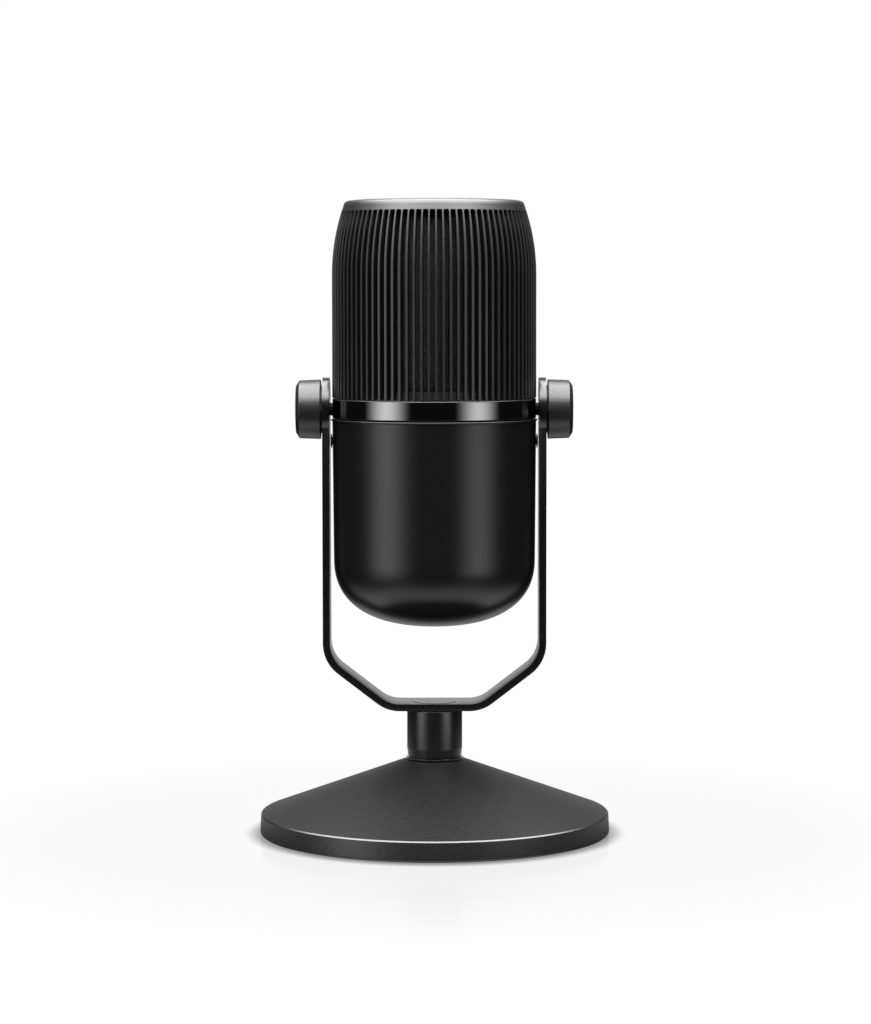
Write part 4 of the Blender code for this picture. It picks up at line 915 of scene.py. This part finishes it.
for side, sign in (("left", -1), ("right", 1)):
    outward = Matrix.Rotation(sign * math.pi / 2, 4, "Y")
    outward.translation = (sign * knob_low.x, 0, pivot_height)
    name = f"{side}_clamp_knob"
    knob = add_piece(name, turned_mesh(name, outline, 128, outward), eroded_nylon)
    seat(knob, f"{side}_knob", "knob_plastic", f"{side}_knob")


# ---------------------------------------------------------------------------------------------
# Rear controls. A small ribbed dial for the level, with one white line, and a plain round mute
# button. Both are moulded in the knobs' black nylon.

dial_length = dial_high.y - dial_low.y
dial_radius = dial_high.x
dial_place = rear_place(0, dial_low.y, dial_height)
shaft_bore = 3.15 * mm
bore_depth = dial_length * 0.7 + gap
ridge_radius = 0.4 * mm
core_radius = dial_radius - 0.45 * mm
face_radius = core_radius - 0.8 * mm
outline = rounded(
    [
        (0, dial_length, 0),
        (face_radius, dial_length, 0.4 * mm),
        (core_radius, dial_length - 0.9 * mm, 0.3 * mm),
        (core_radius, 0, 0.15 * mm),
        (shaft_bore, 0, 0),
        (shaft_bore, bore_depth, 0),
        (0, bore_depth, 0),
    ]
)
dial = add_piece("level_dial", turned_mesh("level_dial", outline, 96, dial_place), eroded_nylon)
seat(dial, "gain_dial", "knob_plastic", "gain_dial")

ridge_count = 36
ridge_length = dial_length - 2.2 * mm
ridge_middle = dial_length / 2 - 0.3 * mm
form = bmesh.new()
bmesh.ops.create_cone(
    form, cap_ends=True, segments=8, radius1=ridge_radius, radius2=ridge_radius, depth=ridge_length
)
bmesh.ops.translate(form, vec=(core_radius, 0, ridge_middle), verts=form.verts)
ridges = add_piece("dial_ridges", closed_mesh("dial_ridges", form), eroded_nylon)
copied_round(ridges, ridge_count, 0.0, 0.001 * mm, eroded_nylon)
ridges.data.transform(dial_place)
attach(ridges, "gain_dial")

# Pad-printed ink is a flat, slightly uneven white that hardly shines.
white_ink, tree, shader = finish("pad_printed_white_ink", "#d9d9d6", 0.5)
grained(tree, shader, 0.2 * mm, 0.003 * mm, ("#cfcfcc", "#e0e0dd"))
line_size = (0.7 * mm, core_radius * 0.45, 0.12 * mm)
line_place = (0, -core_radius * 0.55, dial_length + 0.03 * mm)
form = bmesh.new()
bmesh.ops.create_cube(form, size=1.0)
bmesh.ops.scale(form, vec=line_size, verts=form.verts)
bmesh.ops.translate(form, vec=line_place, verts=form.verts)
mark = add_piece("dial_mark", closed_mesh("dial_mark", form, dial_place), white_ink)
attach(mark, "gain_dial")

button_length = button_high.y - button_low.y
button_place = rear_place(0, button_low.y, button_height)
button_radius = 3.0 * mm
button_edge = 0.1 * mm
flange = 1.0 * mm
outline = rounded(
    [
        (0, button_length - 0.25 * mm, 0),
        (button_radius * 0.45, button_length - 0.2 * mm, 0.5 * mm),
        (button_radius * 0.8, button_length, 0.3 * mm),
        (button_radius, button_length - 0.35 * mm, 0.3 * mm),
        (button_radius, flange, button_edge),
        (button_high.x, flange, button_edge),
        (button_high.x, 0, button_edge),
        (0, 0, 0),
    ]
)
button = add_piece("mute_cap", turned_mesh("mute_cap", outline, 64, button_place), eroded_nylon)
seat(button, "mute_button", "knob_plastic", "mute_button")


# ---------------------------------------------------------------------------------------------
# Studio. A white table under a large overhead soft box, a tall soft box at the front left, a low
# one at the front right and a faint one behind. The camera is far away, at the head's height.
# The table gives light of its own: little under the base, most just past it, less further out.

table_top = bpy.data.materials.new("white_table")
table_top.use_nodes = True
tree = table_top.node_tree
tree.nodes.clear()
place = add_node(tree, "ShaderNodeTexCoord")
parts = add_node(tree, "ShaderNodeSeparateXYZ", links={"Vector": place.outputs["Object"]})
distance = add_node(
    tree, "ShaderNodeVectorMath", links={0: place.outputs["Object"]}, operation="LENGTH"
).outputs["Value"]
rise = add_node(
    tree,
    "ShaderNodeMapRange",
    {"From Min": 56 * mm, "From Max": 105 * mm, "To Min": 0.15, "To Max": 1.0},
    {"Value": distance},
)
fall = add_node(
    tree,
    "ShaderNodeMapRange",
    {"From Min": 100 * mm, "From Max": 260 * mm, "To Min": 0.44, "To Max": 0.0},
    {"Value": distance},
    interpolation_type="SMOOTHSTEP",
)
lit_round = add_node(
    tree,
    "ShaderNodeMath",
    links={0: rise.outputs["Result"], 1: fall.outputs["Result"]},
    operation="MULTIPLY",
)
lit_behind = add_node(
    tree,
    "ShaderNodeMapRange",
    {"From Min": -30 * mm, "From Max": 60 * mm, "To Min": 1.0, "To Max": 1.8},
    {"Value": parts.outputs["Y"]},
)
shine = add_node(
    tree,
    "ShaderNodeMath",
    links={0: lit_round.outputs[0], 1: lit_behind.outputs["Result"]},
    operation="MULTIPLY",
)
# Painted contact shadow: the camera sees the table darker in a ring just round the base.
contact_shadow = add_node(
    tree,
    "ShaderNodeMapRange",
    {"From Min": 54.5 * mm, "From Max": 61.5 * mm, "To Min": 0.35, "To Max": 1.0},
    {"Value": distance},
    interpolation_type="SMOOTHSTEP",
)
sight = add_node(tree, "ShaderNodeLightPath")
brightness = add_node(
    tree,
    "ShaderNodeMix",
    links={
        "Factor": sight.outputs["Is Camera Ray"],
        "A": shine.outputs[0],
        "B": contact_shadow.outputs["Result"],
    },
)
glow = add_node(
    tree, "ShaderNodeEmission", {"Color": linear("#ffffff")}, {"Strength": brightness.outputs[0]}
)
polish = add_node(tree, "ShaderNodeBsdfGlossy", {"Roughness": 0.16})
mirror_share = add_node(
    tree,
    "ShaderNodeMapRange",
    {"From Min": 100 * mm, "From Max": 180 * mm, "To Min": 0.13, "To Max": 0.0},
    {"Value": distance},
    interpolation_type="SMOOTHSTEP",
)
blend = add_node(
    tree,
    "ShaderNodeMixShader",
    links={"Fac": mirror_share.outputs["Result"], 1: glow.outputs[0], 2: polish.outputs[0]},
)
add_node(tree, "ShaderNodeOutputMaterial", links={"Surface": blend.outputs[0]})

table_width = 380 * mm
form = bmesh.new()
bmesh.ops.create_grid(form, x_segments=1, y_segments=1, size=table_width / 2)
bmesh.ops.translate(form, vec=(0, 0, -0.01 * mm), verts=form.verts)
table_mesh = bpy.data.meshes.new("table")
form.to_mesh(table_mesh)
form.free()
add_piece("table", table_mesh, table_top)

world = bpy.data.worlds.new("studio")
bpy.context.scene.world = world
world.use_nodes = True
tree = world.node_tree
tree.nodes.clear()
direction = add_node(tree, "ShaderNodeTexCoord").outputs["Generated"]
parts = add_node(tree, "ShaderNodeSeparateXYZ", links={"Vector": direction})
towards = add_node(tree, "ShaderNodeMath", {1: -1.0}, {0: parts.outputs["Y"]}, operation="MULTIPLY")
azimuth = add_node(
    tree, "ShaderNodeMath", links={0: parts.outputs["X"], 1: towards.outputs[0]}, operation="ARCTAN2"
)
elevation = add_node(tree, "ShaderNodeMath", links={0: parts.outputs["Z"]}, operation="ARCSINE")


def soft_box(edges, radiance):
    """The light of one soft box. An edge is an output, with its values where light starts and is full."""
    light = None
    for value, start, full in edges:
        low, high = sorted((start, full))
        grows = float(full > start)
        edge = add_node(
            tree,
            "ShaderNodeMapRange",
            {"From Min": low, "From Max": high, "To Min": 1.0 - grows, "To Max": grows},
            {"Value": value},
            interpolation_type="SMOOTHSTEP",
        )
        links = {0: edge.outputs["Result"]}
        if light:
            links[1] = light.outputs[0]
        light = add_node(tree, "ShaderNodeMath", {1: radiance}, links, operation="MULTIPLY")
    return light.outputs[0]


def side_box(centre, half_width, low, high, edge, radiance):
    """An upright soft box, in degrees. Azimuth 0 is the front, and 90 is the right."""
    turned = add_node(
        tree, "ShaderNodeMath", {1: math.radians(centre)}, {0: azimuth.outputs[0]}, operation="SUBTRACT"
    )
    wrapped = add_node(
        tree, "ShaderNodeMath", {1: math.pi, 2: -math.pi}, {0: turned.outputs[0]}, operation="WRAP"
    )
    aside = add_node(tree, "ShaderNodeMath", links={0: wrapped.outputs[0]}, operation="ABSOLUTE")
    low, high, edge, half_width = (math.radians(angle) for angle in (low, high, edge, half_width))
    edges = (
        (aside.outputs[0], half_width, 0.0),
        (elevation.outputs[0], low - edge, low + edge),
        (elevation.outputs[0], high + edge, high - edge),
    )
    return soft_box(edges, radiance)


def overhead_box(front, back, half_width, edge, radiance):
    """A flat soft box overhead. Its sides are in heights over the object."""
    height = add_node(tree, "ShaderNodeMath", {1: 0.01}, {0: parts.outputs["Z"]}, operation="MAXIMUM")
    ahead, across = (
        add_node(
            tree, "ShaderNodeMath", links={0: parts.outputs[axis], 1: height.outputs[0]}, operation="DIVIDE"
        )
        for axis in ("Y", "X")
    )
    aside = add_node(tree, "ShaderNodeMath", links={0: across.outputs[0]}, operation="ABSOLUTE")
    edges = (
        (ahead.outputs[0], front - edge, front + edge),
        (ahead.outputs[0], back + edge, back - edge),
        (aside.outputs[0], half_width + edge, half_width - edge),
    )
    return soft_box(edges, radiance)


glow = add_node(tree, "ShaderNodeValue")
glow.outputs[0].default_value = 0.02
for box in (
    side_box(-55.5, 30, -17, 34, 12.0, 3.6),
    side_box(51, 28.5, -14, 0, 6.0, 4.3),
    side_box(180, 30, -20, 30, 8.0, 0.85),
    overhead_box(-1.15, 0.6, 1.2, 0.4, 14.0),
):
    glow = add_node(tree, "ShaderNodeMath", links={0: glow.outputs[0], 1: box}, operation="ADD")
sight = add_node(tree, "ShaderNodeLightPath")
studio_light = add_node(tree, "ShaderNodeBackground", {"Color": (1, 1, 1, 1)}, {"Strength": glow.outputs[0]})
white = add_node(tree, "ShaderNodeBackground", {"Color": (1, 1, 1, 1), "Strength": 1.0})
choice = add_node(
    tree,
    "ShaderNodeMixShader",
    links={"Fac": sight.outputs["Is Camera Ray"], 1: studio_light.outputs[0], 2: white.outputs[0]},
)
add_node(tree, "ShaderNodeOutputWorld", links={"Surface": choice.outputs[0]})

camera_tilt = math.radians(4.0232)
camera_roll = math.radians(0.07)
lens = bpy.data.cameras.new("camera")
lens.sensor_width = 36.0
lens.lens = 105.82
camera = bpy.data.objects.new("camera", lens)
bpy.context.scene.collection.objects.link(camera)
camera.location = (0.43 * mm, -949.565 * mm, 168.848 * mm)
camera.rotation_euler = (math.pi / 2 - camera_tilt, camera_roll, 0)
bpy.context.scene.camera = camera
bpy.context.scene.view_settings.view_transform = "Standard"
